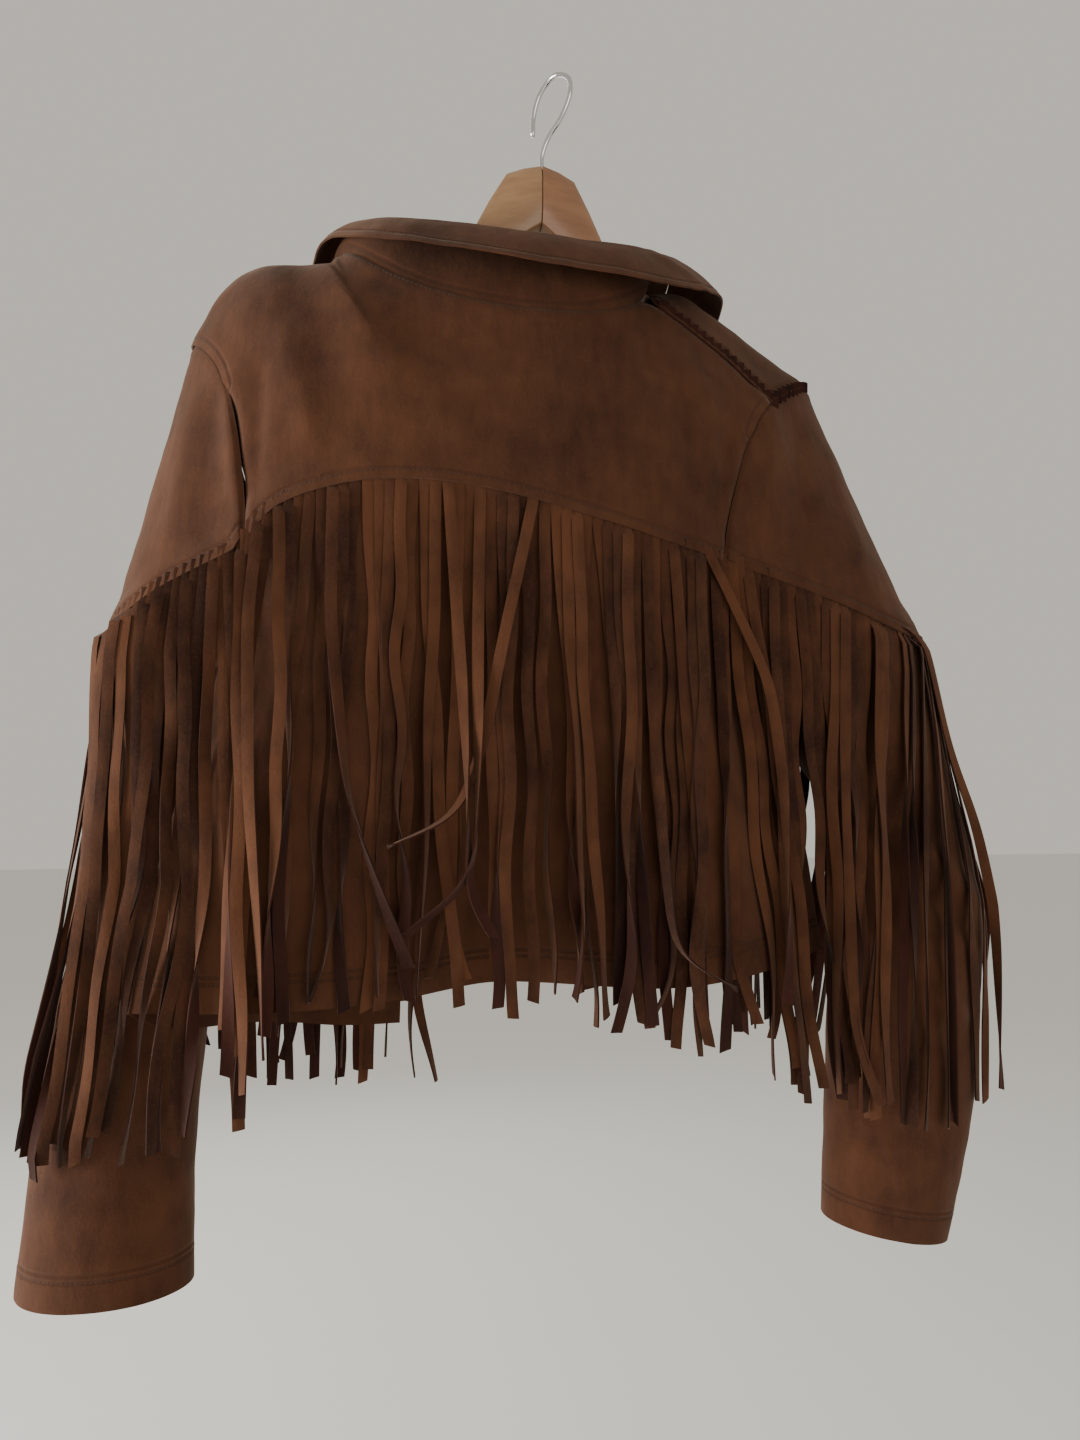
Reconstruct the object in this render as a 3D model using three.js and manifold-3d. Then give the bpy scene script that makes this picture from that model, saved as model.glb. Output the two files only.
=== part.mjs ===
// A fringed buckskin jacket hanging on a wooden coat hanger, seen from its back.
// Millimetres, +Z up. The jacket's back faces -Y and its open front faces +Y.
// The origin is the underside of the hook's crown, where a rail or a peg carries it.
import * as THREE from 'three';
import { mergeVertices } from 'three/addons/utils/BufferGeometryUtils.js';
import Module from 'manifold-3d';

const wasm = await Module();
wasm.setup();

// ---- Driving dimensions ----
const HIDE = 1.6; // thickness of one layer of suede
const SEAM_GAP = 0.3; // space between pieces that are sewn together
const NECK_GAP = 4; // gap under the collar stand where it crosses a shoulder seam at a slant
const DRAW_IN = 0.8; // share of the seam gap that each of two neighbours is drawn back
const LEAF_GAP = 0.5; // space between a piece and the one that lies on it
const FRINGE_DEPTH = 5; // depth of the curtain of strands
const WIRE = 3.4; // diameter of the hook's wire
const BORE_CLEARANCE = 0.35; // space round the hook's shank in the wood
const BORE_DEEPER = 1; // how far the bore goes past the shank's foot
const BORE_PROUD = 9; // how far the cut runs out above the wood

const YOKE_ROWS = 6;
const BODY_ROWS = 8;
const SHOULDER_COLUMNS = 4;
const BACK_NECK_COLUMNS = 10;
const FRONT_NECK_COLUMNS = 4;
const UNDERARM_COLUMNS = 4;
const SLEEVE_ROWS = 12;
const CAP_ROWS = 4;
const CAP_END = 0.1; // degrees before the armhole's front or back at which a cap has no depth
const HALVINGS = 24; // steps in the search for a cap's edge
const STAND_ROWS = 2;
const FALL_ROWS = 4;
const FOLD_ROLL = 5; // how far the collar rolls above its fold line
const FOLD_REACH = 0.62; // where down the body its folds stop growing, as a share of half a wave
// How strongly each yoke rounds the shoulder, and the neck, as a share of the column's length.
const SHOULDER_ROUND = { back: 0.36, left: 0.34, right: 0.5 };
const NECK_ROUND = 0.2;
const POINT_CUT = 0.15; // share of its last column that a cap's pointed end is cut back

// ---- Tables of the jacket's form ----
// Armhole edges. turn: degrees round the opening, from 0 at the outer crest of the
// shoulder, through 90 at the back and 180 under the arm, to 270 (or -90) at the front.
const ARMHOLE = {
  left: [
    { turn: -90, x: -205, y: 66, z: -338 },
    { turn: -60, x: -212, y: 70, z: -285 },
    { turn: -30, x: -236, y: 54, z: -210 },
    { turn: 0, x: -248, y: 30, z: -195 },
    { turn: 30, x: -225, y: -6, z: -216 },
    { turn: 60, x: -208, y: -28, z: -268 },
    { turn: 90, x: -202, y: -40, z: -347 },
    { turn: 135, x: -209, y: -26, z: -398 },
    { turn: 180, x: -224, y: -10, z: -428 },
    { turn: 225, x: -212, y: 44, z: -392 },
  ],
  right: [
    { turn: -90, x: 150, y: 66, z: -340 },
    { turn: -60, x: 160, y: 72, z: -285 },
    { turn: -30, x: 188, y: 60, z: -222 },
    { turn: 0, x: 205, y: 30, z: -194 },
    { turn: 30, x: 152, y: -12, z: -226 },
    { turn: 45, x: 133, y: -26, z: -250 },
    { turn: 60, x: 122, y: -33, z: -282 },
    { turn: 90, x: 107, y: -38, z: -345 },
    { turn: 135, x: 120, y: -24, z: -398 },
    { turn: 180, x: 150, y: 4, z: -425 },
    { turn: 225, x: 152, y: 44, z: -396 },
  ],
};
// Where each shoulder seam meets its armhole: the jacket has slid a little on the
// hanger, so the left seam lies before the crest and the right one behind it.
const SEAM_TURN = { left: -30, right: 30 };

// Shoulder seams, from the armhole (u 0) to the neck (u 1). lean: the slope, in
// degrees, at which the cloth leaves the seam towards the back. flare: how far it is
// drawn towards the armhole as it goes over the shoulder, clear of the neck.
const SHOULDER = {
  left: [
    { u: 0, x: -236, y: 54, z: -210, lean: 72, flare: 0 },
    { u: 0.35, x: -215, y: 56, z: -160, lean: 45, flare: 0 },
    { u: 0.6, x: -190, y: 56, z: -148, lean: 36, flare: -4 },
    { u: 1, x: -150, y: 50, z: -146, lean: 36, flare: -44 },
  ],
  right: [
    { u: 0, x: 152, y: -12, z: -226, lean: -56, flare: 0 },
    { u: 0.5, x: 107, y: -14, z: -189, lean: -58, flare: 10 },
    { u: 1, x: 60, y: -16, z: -160, lean: -62, flare: 34 },
  ],
};

// Neck seam. u runs round the back from the left shoulder to the right one, and
// down each front from its shoulder to the edge where the jacket opens.
const NECK_BACK = [
  { u: 0, x: -150, y: 50, z: -146, lean: 30 },
  { u: 0.1, x: -149, y: 16, z: -131, lean: -20 },
  { u: 0.25, x: -133, y: -24, z: -152, lean: -60 },
  { u: 0.45, x: -88, y: -44, z: -178, lean: -85 },
  { u: 0.65, x: -28, y: -48, z: -187, lean: -88 },
  { u: 0.85, x: 28, y: -40, z: -181, lean: -80 },
  { u: 1, x: 60, y: -16, z: -160, lean: -62 },
];
const NECK_FRONT = {
  left: [
    { u: 0, x: -150, y: 50, z: -146, lean: 30 },
    { u: 0.5, x: -132, y: 70, z: -184, lean: 70 },
    { u: 1, x: -88, y: 78, z: -228, lean: 92 },
  ],
  right: [
    { u: 0, x: 60, y: -16, z: -160, lean: -62 },
    { u: 0.35, x: 67, y: 18, z: -133, lean: 38 },
    { u: 0.65, x: 60, y: 54, z: -166, lean: 76 },
    { u: 1, x: 6, y: 78, z: -228, lean: 92 },
  ],
};

// Lower edges of the yokes. u runs from the left armhole to the right one.
const YOKE_BACK = [
  { u: 0, x: -202, y: -40, z: -347 },
  { u: 0.04, x: -194, y: -45, z: -330 },
  { u: 0.12, x: -170, y: -52, z: -317 },
  { u: 0.26, x: -126, y: -58, z: -306 },
  { u: 0.45, x: -67, y: -60, z: -307 },
  { u: 0.65, x: -6, y: -60, z: -319 },
  { u: 0.85, x: 54, y: -54, z: -334 },
  { u: 1, x: 107, y: -38, z: -345 },
];
const YOKE_FRONT = {
  left: [
    { u: 0, x: -205, y: 66, z: -338 },
    { u: 0.5, x: -150, y: 80, z: -340 },
    { u: 1, x: -92, y: 82, z: -346 },
  ],
  right: [
    { u: 0, x: 150, y: 66, z: -340 },
    { u: 0.5, x: 82, y: 80, z: -342 },
    { u: 1, x: 12, y: 82, z: -346 },
  ],
};

// The side seams, from the underarm down. y is the depth of the seam.
const SIDE_SEAM = {
  left: [
    { v: 0, x: -224, y: -10, z: -428 },
    { v: 0.1, x: -224, y: -5, z: -444 },
    { v: 0.25, x: -234, y: -30, z: -478 },
    { v: 0.5, x: -249, y: -36, z: -532 },
    { v: 1, x: -266, y: -46, z: -631 },
  ],
  right: [
    { v: 0, x: 150, y: 4, z: -425 },
    { v: 0.25, x: 169, y: 8, z: -476 },
    { v: 0.5, x: 180, y: 6, z: -522 },
    { v: 1, x: 189, y: -6, z: -612 },
  ],
};

// The back's hem, u from the left side seam to the right one.
const HEM_BACK = [
  { u: 0, x: -266, y: -46, z: -631 },
  { u: 0.12, x: -216, y: -60, z: -629 },
  { u: 0.3, x: -146, y: -64, z: -627 },
  { u: 0.42, x: -96, y: -50, z: -626 },
  { u: 0.52, x: -52, y: -36, z: -622 },
  { u: 0.64, x: -2, y: -46, z: -622 },
  { u: 0.8, x: 70, y: -58, z: -624 },
  { u: 0.93, x: 146, y: -42, z: -615 },
  { u: 1, x: 189, y: -6, z: -612 },
];
// The fronts' hems, u from the side seam to the open edge.
const HEM_FRONT = {
  left: [
    { u: 0, x: -266, y: -46, z: -631 },
    { u: 0.2, x: -244, y: -32, z: -644 },
    { u: 0.45, x: -204, y: 12, z: -652 },
    { u: 0.7, x: -156, y: 42, z: -663 },
    { u: 1, x: -102, y: 46, z: -664 },
  ],
  right: [
    { u: 0, x: 189, y: -6, z: -612 },
    { u: 0.2, x: 170, y: 34, z: -618 },
    { u: 0.5, x: 124, y: 62, z: -630 },
    { u: 0.75, x: 78, y: 58, z: -642 },
    { u: 1, x: 28, y: 66, z: -652 },
  ],
};
// Folds of the body below the yokes: how far the cloth swings out (-) or in (+)
// of the straight run from yoke to hem, across each panel.
const BODY_FOLDS = {
  back: [
    { u: 0, swing: 0 },
    { u: 0.2, swing: -9 },
    { u: 0.4, swing: -3 },
    { u: 0.52, swing: 4 },
    { u: 0.7, swing: -6 },
    { u: 0.88, swing: -10 },
    { u: 1, swing: 0 },
  ],
  left: [
    { u: 0, swing: 0 },
    { u: 0.3, swing: -4 },
    { u: 0.6, swing: 8 },
    { u: 0.8, swing: -2 },
    { u: 1, swing: 5 },
  ],
  right: [
    { u: 0, swing: 0 },
    { u: 0.3, swing: 12 },
    { u: 0.55, swing: 4 },
    { u: 0.8, swing: 9 },
    { u: 1, swing: 2 },
  ],
};

// Sleeve sections below the armhole. x, y, z: centre. wide, deep: half sizes across
// and front to back. tilt: degrees that the +X side of the section is raised.
const SLEEVE_SECTIONS = {
  left: [
    { s: 0.22, x: -266, y: 38, z: -424, wide: 36, deep: 50, tilt: -26 },
    { s: 0.34, x: -259, y: 44, z: -478, wide: 42, deep: 48, tilt: -6 },
    { s: 0.52, x: -265, y: 50, z: -560, wide: 45, deep: 44, tilt: 0 },
    { s: 0.68, x: -278, y: 46, z: -640, wide: 49, deep: 42, tilt: 0 },
    { s: 0.85, x: -286, y: 30, z: -725, wide: 50, deep: 40, tilt: 0 },
    { s: 1, x: -287, y: 12, z: -812, wide: 54, deep: 38, tilt: 1 },
  ],
  right: [
    { s: 0.2, x: 212, y: 18, z: -400, wide: 61, deep: 50, tilt: 24 },
    { s: 0.36, x: 239, y: 20, z: -474, wide: 54, deep: 46, tilt: 12 },
    { s: 0.56, x: 270, y: 24, z: -552, wide: 68, deep: 42, tilt: -34 },
    { s: 0.7, x: 265, y: 20, z: -640, wide: 59, deep: 42, tilt: -18 },
    { s: 0.85, x: 255, y: 12, z: -727, wide: 55, deep: 40, tilt: -3 },
    { s: 1, x: 238, y: 4, z: -808, wide: 45, deep: 36, tilt: -10 },
  ],
};
// Lower edge of each sleeve cap: its height at each turn round the arm.
const CAP_EDGE = {
  left: [
    { turn: -90, z: -338 },
    { turn: -45, z: -380 },
    { turn: 0, z: -392 },
    { turn: 45, z: -386 },
    { turn: 90, z: -347 },
  ],
  right: [
    { turn: -90, z: -340 },
    { turn: -45, z: -366 },
    { turn: 0, z: -373 },
    { turn: 40, z: -391 },
    { turn: 70, z: -382 },
    { turn: 90, z: -345 },
  ],
};

// Collar, w from the left open edge round the back to the right one: the fold at
// the top of its stand, and the outer edge of the leaf that is turned down.
const COLLAR_FOLD = [
  { w: 0, x: -88, y: 88, z: -222 },
  { w: 0.12, x: -142, y: 82, z: -168 },
  { w: 0.2, x: -154, y: 54, z: -128 },
  { w: 0.26, x: -147, y: 20, z: -118 },
  { w: 0.32, x: -133, y: -6, z: -120 },
  { w: 0.38, x: -112, y: -20, z: -121 },
  { w: 0.5, x: -54, y: -30, z: -127 },
  { w: 0.62, x: 12, y: -30, z: -130 },
  { w: 0.7, x: 50, y: -22, z: -127 },
  { w: 0.78, x: 75, y: -2, z: -122 },
  { w: 0.86, x: 98, y: 34, z: -112 },
  { w: 0.94, x: 80, y: 78, z: -172 },
  { w: 1, x: 6, y: 88, z: -222 },
];
const COLLAR_EDGE = [
  { w: 0, x: -112, y: 100, z: -262 },
  { w: 0.12, x: -156, y: 102, z: -206 },
  { w: 0.2, x: -169, y: 62, z: -134 },
  { w: 0.26, x: -163, y: 18, z: -122 },
  { w: 0.32, x: -143, y: -28, z: -141 },
  { w: 0.38, x: -112, y: -50, z: -151 },
  { w: 0.5, x: -50, y: -60, z: -161 },
  { w: 0.62, x: 18, y: -60, z: -165 },
  { w: 0.7, x: 66, y: -50, z: -166 },
  { w: 0.78, x: 106, y: -22, z: -156 },
  { w: 0.86, x: 138, y: 34, z: -141 },
  { w: 0.94, x: 108, y: 100, z: -204 },
  { w: 1, x: 30, y: 100, z: -262 },
];

// Curtains of strands: how many rows of the cloth under it each one covers, how far
// the front ones hang below the hem, and how far round the arm the sleeve ones go.
const BACK_FRINGE_ROWS = 11;
const SLEEVE_FRINGE_ROWS = 9;
const FRONT_FRINGE_START = 3;
const FRONT_FRINGE_DROPS = [30, 75];
const SLEEVE_FRINGE_TURN = 85;

// Hanger: each arm, by distance d from the middle of the hanger. top and bottom are
// its edges, back its sweep towards the open front, thick its thickness.
const HANGER_MIDDLE = -10;
const HANGER_ARM = [
  { d: 0, top: -66, bottom: -111, back: 2, thick: 24 },
  { d: 22, top: -69, bottom: -125, back: 8, thick: 23 },
  { d: 30, top: -78, bottom: -132, back: 10, thick: 22 },
  { d: 42, top: -103, bottom: -140, back: 13, thick: 19 },
  { d: 58, top: -130, bottom: -160, back: 13, thick: 15 },
  { d: 80, top: -160, bottom: -178, back: 15, thick: 14 },
  { d: 110, top: -172, bottom: -191, back: 17, thick: 14 },
  { d: 150, top: -186, bottom: -204, back: 22, thick: 14 },
  { d: 190, top: -206, bottom: -220, back: 26, thick: 14 },
];
const ARM_CORNERS = 10;
const ARM_STATIONS = 16;
const ARM_SQUARENESS = 0.55; // 1 gives round sections, less gives squarer ones
const HANGER_TILT = 2; // degrees that the hanger hangs out of level, its left arm higher
// Hook: centre line of the wire in its own plane, from the wood to the free end.
const HOOK_TURN = 52; // degrees that the hook's plane is turned about the upright
const HOOK_LINE = [
  { across: -12, up: -64 },
  { across: -12, up: -52 },
  { across: -6, up: -41 },
  { across: 6, up: -31 },
  { across: 14, up: -18 },
  { across: 13, up: -6 },
  { across: 0, up: WIRE / 2 },
  { across: -14, up: -6 },
  { across: -20, up: -20 },
  { across: -21, up: -34 },
];
const SHANK_DEPTH = 22; // how far the hook's shank is set into the wood

// ---- Finishes ----
const suede = () => new THREE.MeshStandardMaterial({ color: 0x5a3826, roughness: 0.95, metalness: 0 });
const strandSuede = () => new THREE.MeshStandardMaterial({
  color: 0x4a2c1e,
  roughness: 0.95,
  metalness: 0,
});
const wood = () => new THREE.MeshStandardMaterial({ color: 0xa8825c, roughness: 0.55, metalness: 0 });
const chrome = () => new THREE.MeshStandardMaterial({ color: 0xc8c8ca, roughness: 0.2, metalness: 1 });

const jacket = new THREE.Group();

/** Smooth value of a named column of a table at a place along its key column. */
function along(table, key, column, place) {
  const last = table.length - 1;
  const at = THREE.MathUtils.clamp(place, table[0][key], table[last][key]);
  let i = 0;
  while (i < last - 1 && at > table[i + 1][key]) i += 1;
  const slope = (k) => {
    const before = table[Math.max(k - 1, 0)];
    const after = table[Math.min(k + 1, last)];
    return (after[column] - before[column]) / (after[key] - before[key]);
  };
  const span = table[i + 1][key] - table[i][key];
  const t = (at - table[i][key]) / span;
  const start = table[i][column] * (2 * t ** 3 - 3 * t ** 2 + 1);
  const end = table[i + 1][column] * (3 * t ** 2 - 2 * t ** 3);
  const leave = slope(i) * span * (t ** 3 - 2 * t ** 2 + t);
  const arrive = slope(i + 1) * span * (t ** 3 - t ** 2);
  return start + end + leave + arrive;
}

/** Point of a table that has x, y and z columns. */
function pointAlong(table, key, place) {
  return new THREE.Vector3(
    along(table, key, 'x', place),
    along(table, key, 'y', place),
    along(table, key, 'z', place),
  );
}

/** Whole numbers 0 to count, each as a fraction of count. */
const fractions = (count) => Array.from({ length: count + 1 }, (_, i) => i / count);

/** A cubic run from start to end that leaves and arrives along two given arms. */
function sweep(start, leave, arrive, end, t) {
  const k = 1 - t;
  return new THREE.Vector3()
    .addScaledVector(start, k ** 3)
    .addScaledVector(leave, 3 * k * k * t)
    .addScaledVector(arrive, 3 * k * t * t)
    .addScaledVector(end, t ** 3);
}

/** A grid moved so that its two side edges fit exactly: its depth only near them. */
function fitSides(grid, leftEdge, rightEdge) {
  const last = grid[0].length - 1;
  grid.forEach((row, i) => {
    const offLeft = leftEdge[i].clone().sub(row[0]);
    const offRight = rightEdge[i].clone().sub(row[last]);
    row.forEach((point, j) => {
      const u = j / last;
      const share = (power) => offLeft.clone().multiplyScalar((1 - u) ** power)
        .addScaledVector(offRight, u ** power);
      const [wide, near] = [share(2), share(6)];
      point.add(new THREE.Vector3(wide.x, near.y, wide.z));
    });
  });
  return grid;
}

// ---- Cloth panels ----
const panels = [];

/** Notes a panel: a grid of points, rows down and columns across, wrapped or open. */
function panel(name, grid, options = {}) {
  const made = { name, grid, wrapped: false, thickness: HIDE, side: 1, ...options };
  panels.push(made);
  return made;
}

/** Outward direction of every grid point, from the faces that meet there. */
function gridNormals({ grid, wrapped, side }) {
  const rows = grid.length;
  const columns = grid[0].length;
  const normals = grid.map((row) => row.map(() => new THREE.Vector3()));
  const spans = wrapped ? columns : columns - 1;
  for (let i = 0; i + 1 < rows; i += 1) {
    for (let j = 0; j < spans; j += 1) {
      const k = (j + 1) % columns;
      const down = grid[i + 1][j].clone().add(grid[i + 1][k]).sub(grid[i][j]).sub(grid[i][k]);
      const over = grid[i][k].clone().add(grid[i + 1][k]).sub(grid[i][j]).sub(grid[i + 1][j]);
      const face = over.cross(down).multiplyScalar(-side);
      [[i, j], [i + 1, j], [i, k], [i + 1, k]].forEach(([r, c]) => normals[r][c].add(face));
    }
  }
  return normals;
}

/** Gives points that two or more panels share one common outward direction. */
function shareNormals() {
  const shared = new Map();
  const key = (p) => [p.x, p.y, p.z].map((v) => Math.round(v * 100)).join();
  panels.forEach((one) => {
    one.normals = gridNormals(one);
    one.grid.forEach((row, i) => row.forEach((p, j) => {
      const sum = shared.get(key(p)) ?? new THREE.Vector3();
      shared.set(key(p), sum.add(one.normals[i][j]));
    }));
  });
  panels.forEach((one) => {
    one.normals = one.grid.map((row) => row.map((p) => shared.get(key(p)).clone().normalize()));
  });
}

/** Draws the edge points of a grid in by a share of the seam gap, towards their neighbours. */
function drawInEdges({ grid, wrapped, footGap = () => SEAM_GAP }) {
  const moved = grid.map((row) => row.map((p) => p.clone()));
  const rows = grid.length;
  const columns = grid[0].length;
  const draw = (i, j, r, c, gap = SEAM_GAP) => {
    const step = grid[r][c].clone().sub(grid[i][j]);
    if (step.length() > gap) moved[i][j].addScaledVector(step.normalize(), DRAW_IN * gap);
  };
  for (let j = 0; j < columns; j += 1) {
    draw(0, j, 1, j);
    draw(rows - 1, j, rows - 2, j, footGap(j));
  }
  for (let i = 0; i < rows && !wrapped; i += 1) {
    draw(i, 0, i, 1);
    draw(i, columns - 1, i, columns - 2);
  }
  return moved;
}

/** A closed wall on both sides of a grid, as one solid. */
function wallGeometry(grid, normals, wrapped, inner, outer, flip) {
  const rows = grid.length;
  const columns = grid[0].length;
  const positions = [];
  [inner, outer].forEach((offset) => grid.forEach((row, i) => row.forEach((p, j) => {
    positions.push(...p.clone().addScaledVector(normals[i][j], offset).toArray());
  })));
  const faces = [];
  const layer = rows * columns;
  const at = (side, i, j) => side * layer + i * columns + (j % columns);
  const quad = (a, b, c, d) => faces.push(...(flip ? [a, c, b, a, d, c] : [a, b, c, a, c, d]));
  const spans = wrapped ? columns : columns - 1;
  for (let j = 0; j < spans; j += 1) {
    for (let i = 0; i + 1 < rows; i += 1) {
      quad(at(1, i, j), at(1, i + 1, j), at(1, i + 1, j + 1), at(1, i, j + 1));
      quad(at(0, i, j), at(0, i, j + 1), at(0, i + 1, j + 1), at(0, i + 1, j));
    }
    quad(at(1, 0, j), at(1, 0, j + 1), at(0, 0, j + 1), at(0, 0, j));
    quad(at(1, rows - 1, j + 1), at(1, rows - 1, j), at(0, rows - 1, j), at(0, rows - 1, j + 1));
  }
  for (let i = 0; i + 1 < rows && !wrapped; i += 1) {
    const end = columns - 1;
    quad(at(1, i + 1, 0), at(1, i, 0), at(0, i, 0), at(0, i + 1, 0));
    quad(at(1, i, end), at(1, i + 1, end), at(0, i + 1, end), at(0, i, end));
  }
  const geometry = new THREE.BufferGeometry();
  geometry.setAttribute('position', new THREE.Float32BufferAttribute(positions, 3));
  geometry.setIndex(faces);
  geometry.computeVertexNormals();
  return geometry;
}

/** Adds one named piece to the jacket. */
function add(name, geometry, material) {
  const mesh = new THREE.Mesh(geometry, material);
  mesh.name = name;
  jacket.add(mesh);
}

// ---- Edges that the pieces share ----
/** Point of an armhole's edge at any turn, as its table closes on itself. */
function armholePoint(hand, turn) {
  const rounds = [-360, 0, 360].flatMap((whole) => ARMHOLE[hand]
    .map((row) => ({ ...row, turn: row.turn + whole })));
  return pointAlong(rounds, 'turn', turn);
}

/** Armhole points between two turns, as many as a yoke or an underarm needs. */
function armholeRun(hand, from, to, steps) {
  return fractions(steps).map((f) => armholePoint(hand, from + (to - from) * f));
}

/** Turns round the arm of every column of a sleeve, the shoulder seam first. */
function sleeveTurns(hand) {
  const seam = SEAM_TURN[hand];
  const back = fractions(YOKE_ROWS).map((f) => seam + (90 - seam) * f);
  const under = fractions(2 * UNDERARM_COLUMNS).map((f) => 90 + 180 * f);
  const front = fractions(YOKE_ROWS).map((f) => 270 + (seam + 90) * f);
  return [...back, ...under.slice(1), ...front.slice(1, -1)];
}

const shoulderSeam = (hand) => fractions(SHOULDER_COLUMNS)
  .map((u) => pointAlong(SHOULDER[hand], 'u', u));
const backNeck = fractions(BACK_NECK_COLUMNS).map((u) => pointAlong(NECK_BACK, 'u', u));
const frontNeck = (hand) => fractions(FRONT_NECK_COLUMNS)
  .map((u) => pointAlong(NECK_FRONT[hand], 'u', u));

/** Direction in which the cloth leaves a shoulder or neck point towards the back. */
function leanDirection(degrees) {
  const lean = THREE.MathUtils.degToRad(degrees);
  return new THREE.Vector3(0, -Math.cos(lean), Math.sin(lean));
}

// ---- Back yoke ----
const backTop = [
  ...shoulderSeam('left').slice(0, -1),
  ...backNeck,
  ...shoulderSeam('right').reverse().slice(1),
];
const backLeans = [
  ...fractions(SHOULDER_COLUMNS).slice(0, -1).map((u) => along(SHOULDER.left, 'u', 'lean', u)),
  ...fractions(BACK_NECK_COLUMNS).map((u) => along(NECK_BACK, 'u', 'lean', u)),
  ...fractions(SHOULDER_COLUMNS).reverse().slice(1).map((u) => along(SHOULDER.right, 'u', 'lean', u)),
];
const noFlare = (count) => Array.from({ length: count }, () => 0);
const seamFlares = (hand) => fractions(SHOULDER_COLUMNS).map((u) => along(SHOULDER[hand], 'u', 'flare', u));
const backFlares = [
  ...seamFlares('left').slice(0, -1),
  seamFlares('left')[SHOULDER_COLUMNS],
  ...noFlare(BACK_NECK_COLUMNS + SHOULDER_COLUMNS),
];
const backColumns = backTop.length - 1;
const backPlaces = fractions(backColumns);
const yokeLine = backPlaces.map((u) => pointAlong(YOKE_BACK, 'u', u));

/** Yoke columns from a top edge over the shoulder and down to a lower edge. */
function yokeGrid(top, leans, flares, bottom, towards, rounds) {
  return fractions(YOKE_ROWS).map((v) => top.map((start, j) => {
    const end = bottom[j];
    const arm = rounds[j] * start.distanceTo(end);
    const leave = start.clone().addScaledVector(leanDirection(leans[j]), towards * arm);
    leave.x += flares[j];
    const arrive = end.clone().add(new THREE.Vector3(0, 0, arm));
    return sweep(start, leave, arrive, end, v);
  }));
}

const backYokeGrid = fitSides(
  yokeGrid(backTop, backLeans, backFlares, yokeLine, 1, backTop.map(() => SHOULDER_ROUND.back)),
  armholeRun('left', SEAM_TURN.left, 90, YOKE_ROWS),
  armholeRun('right', SEAM_TURN.right, 90, YOKE_ROWS),
);
panel('back_yoke', backYokeGrid);

// ---- Front yokes ----
/** A front yoke's grid: from the shoulder seam and the neck down to the front's top edge. */
function frontYokeGrid(hand) {
  const top = [...shoulderSeam(hand), ...frontNeck(hand).slice(1)];
  const leans = [
    ...fractions(SHOULDER_COLUMNS).map((u) => along(SHOULDER[hand], 'u', 'lean', u)),
    ...fractions(FRONT_NECK_COLUMNS).slice(1).map((u) => along(NECK_FRONT[hand], 'u', 'lean', u)),
  ];
  const last = top.length - 1;
  const bottom = top.map((_, j) => pointAlong(YOKE_FRONT[hand], 'u', j / last));
  const flares = [...seamFlares(hand), ...noFlare(FRONT_NECK_COLUMNS)];
  const rounds = top.map((_, j) => (j > SHOULDER_COLUMNS ? NECK_ROUND : SHOULDER_ROUND[hand]));
  const grid = yokeGrid(top, leans, flares, bottom, -1, rounds);
  const frontEdge = fractions(YOKE_ROWS).map((v) => top[last].clone().lerp(bottom[last], v));
  return fitSides(grid, armholeRun(hand, SEAM_TURN[hand], -90, YOKE_ROWS), frontEdge);
}

const frontYokes = {
  left: panel('front_yoke_left', frontYokeGrid('left'), { side: -1 }),
  right: panel('front_yoke_right', frontYokeGrid('right'), { side: 1 }),
};

// ---- Body panels below the yokes ----
/** Edge of a body panel from its yoke's end, round the underarm and down the side. */
function bodySide(hand, turnFrom) {
  const under = armholeRun(hand, turnFrom, 180, UNDERARM_COLUMNS);
  const side = fractions(BODY_ROWS).slice(1).map((v) => pointAlong(SIDE_SEAM[hand], 'v', v));
  return [...under, ...side];
}

/** Body grid from a yoke line to a hem, with folds that are deepest near the hem. */
function bodyGrid(top, hem, folds, startEdge, endEdge) {
  const rows = startEdge.length - 1;
  const last = top.length - 1;
  return fitSides(
    fractions(rows).map((v) => top.map((start, j) => {
      const point = start.clone().lerp(hem[j], v);
      const swing = along(folds, 'u', 'swing', j / last);
      point.y += swing * Math.sin(Math.PI * FOLD_REACH * v);
      return point;
    })),
    startEdge,
    endEdge,
  );
}

const backHem = backPlaces.map((u) => pointAlong(HEM_BACK, 'u', u));
const backBodyGrid = bodyGrid(
  yokeLine,
  backHem,
  BODY_FOLDS.back,
  bodySide('left', 90),
  bodySide('right', 90),
);
panel('back_panel', backBodyGrid);

/** A front, from its side seam to the edge where the jacket hangs open. */
function frontBodyGrid(hand) {
  const top = frontYokes[hand].grid[YOKE_ROWS];
  const last = top.length - 1;
  const hem = top.map((_, j) => pointAlong(HEM_FRONT[hand], 'u', j / last));
  const startEdge = bodySide(hand, 270);
  const rows = startEdge.length - 1;
  const frontEdge = fractions(rows).map((v) => top[last].clone().lerp(hem[last], v));
  return bodyGrid(top, hem, BODY_FOLDS[hand], startEdge, frontEdge);
}

const fronts = {
  left: panel('front_left', frontBodyGrid('left'), { side: -1 }),
  right: panel('front_right', frontBodyGrid('right'), { side: 1 }),
};

// ---- Collar ----
const neckLine = [
  ...frontNeck('left').reverse(),
  ...backNeck.slice(1),
  ...frontNeck('right').slice(1),
];
const collarLast = neckLine.length - 1;
const collarPlaces = neckLine.map((_, j) => j / collarLast);

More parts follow.
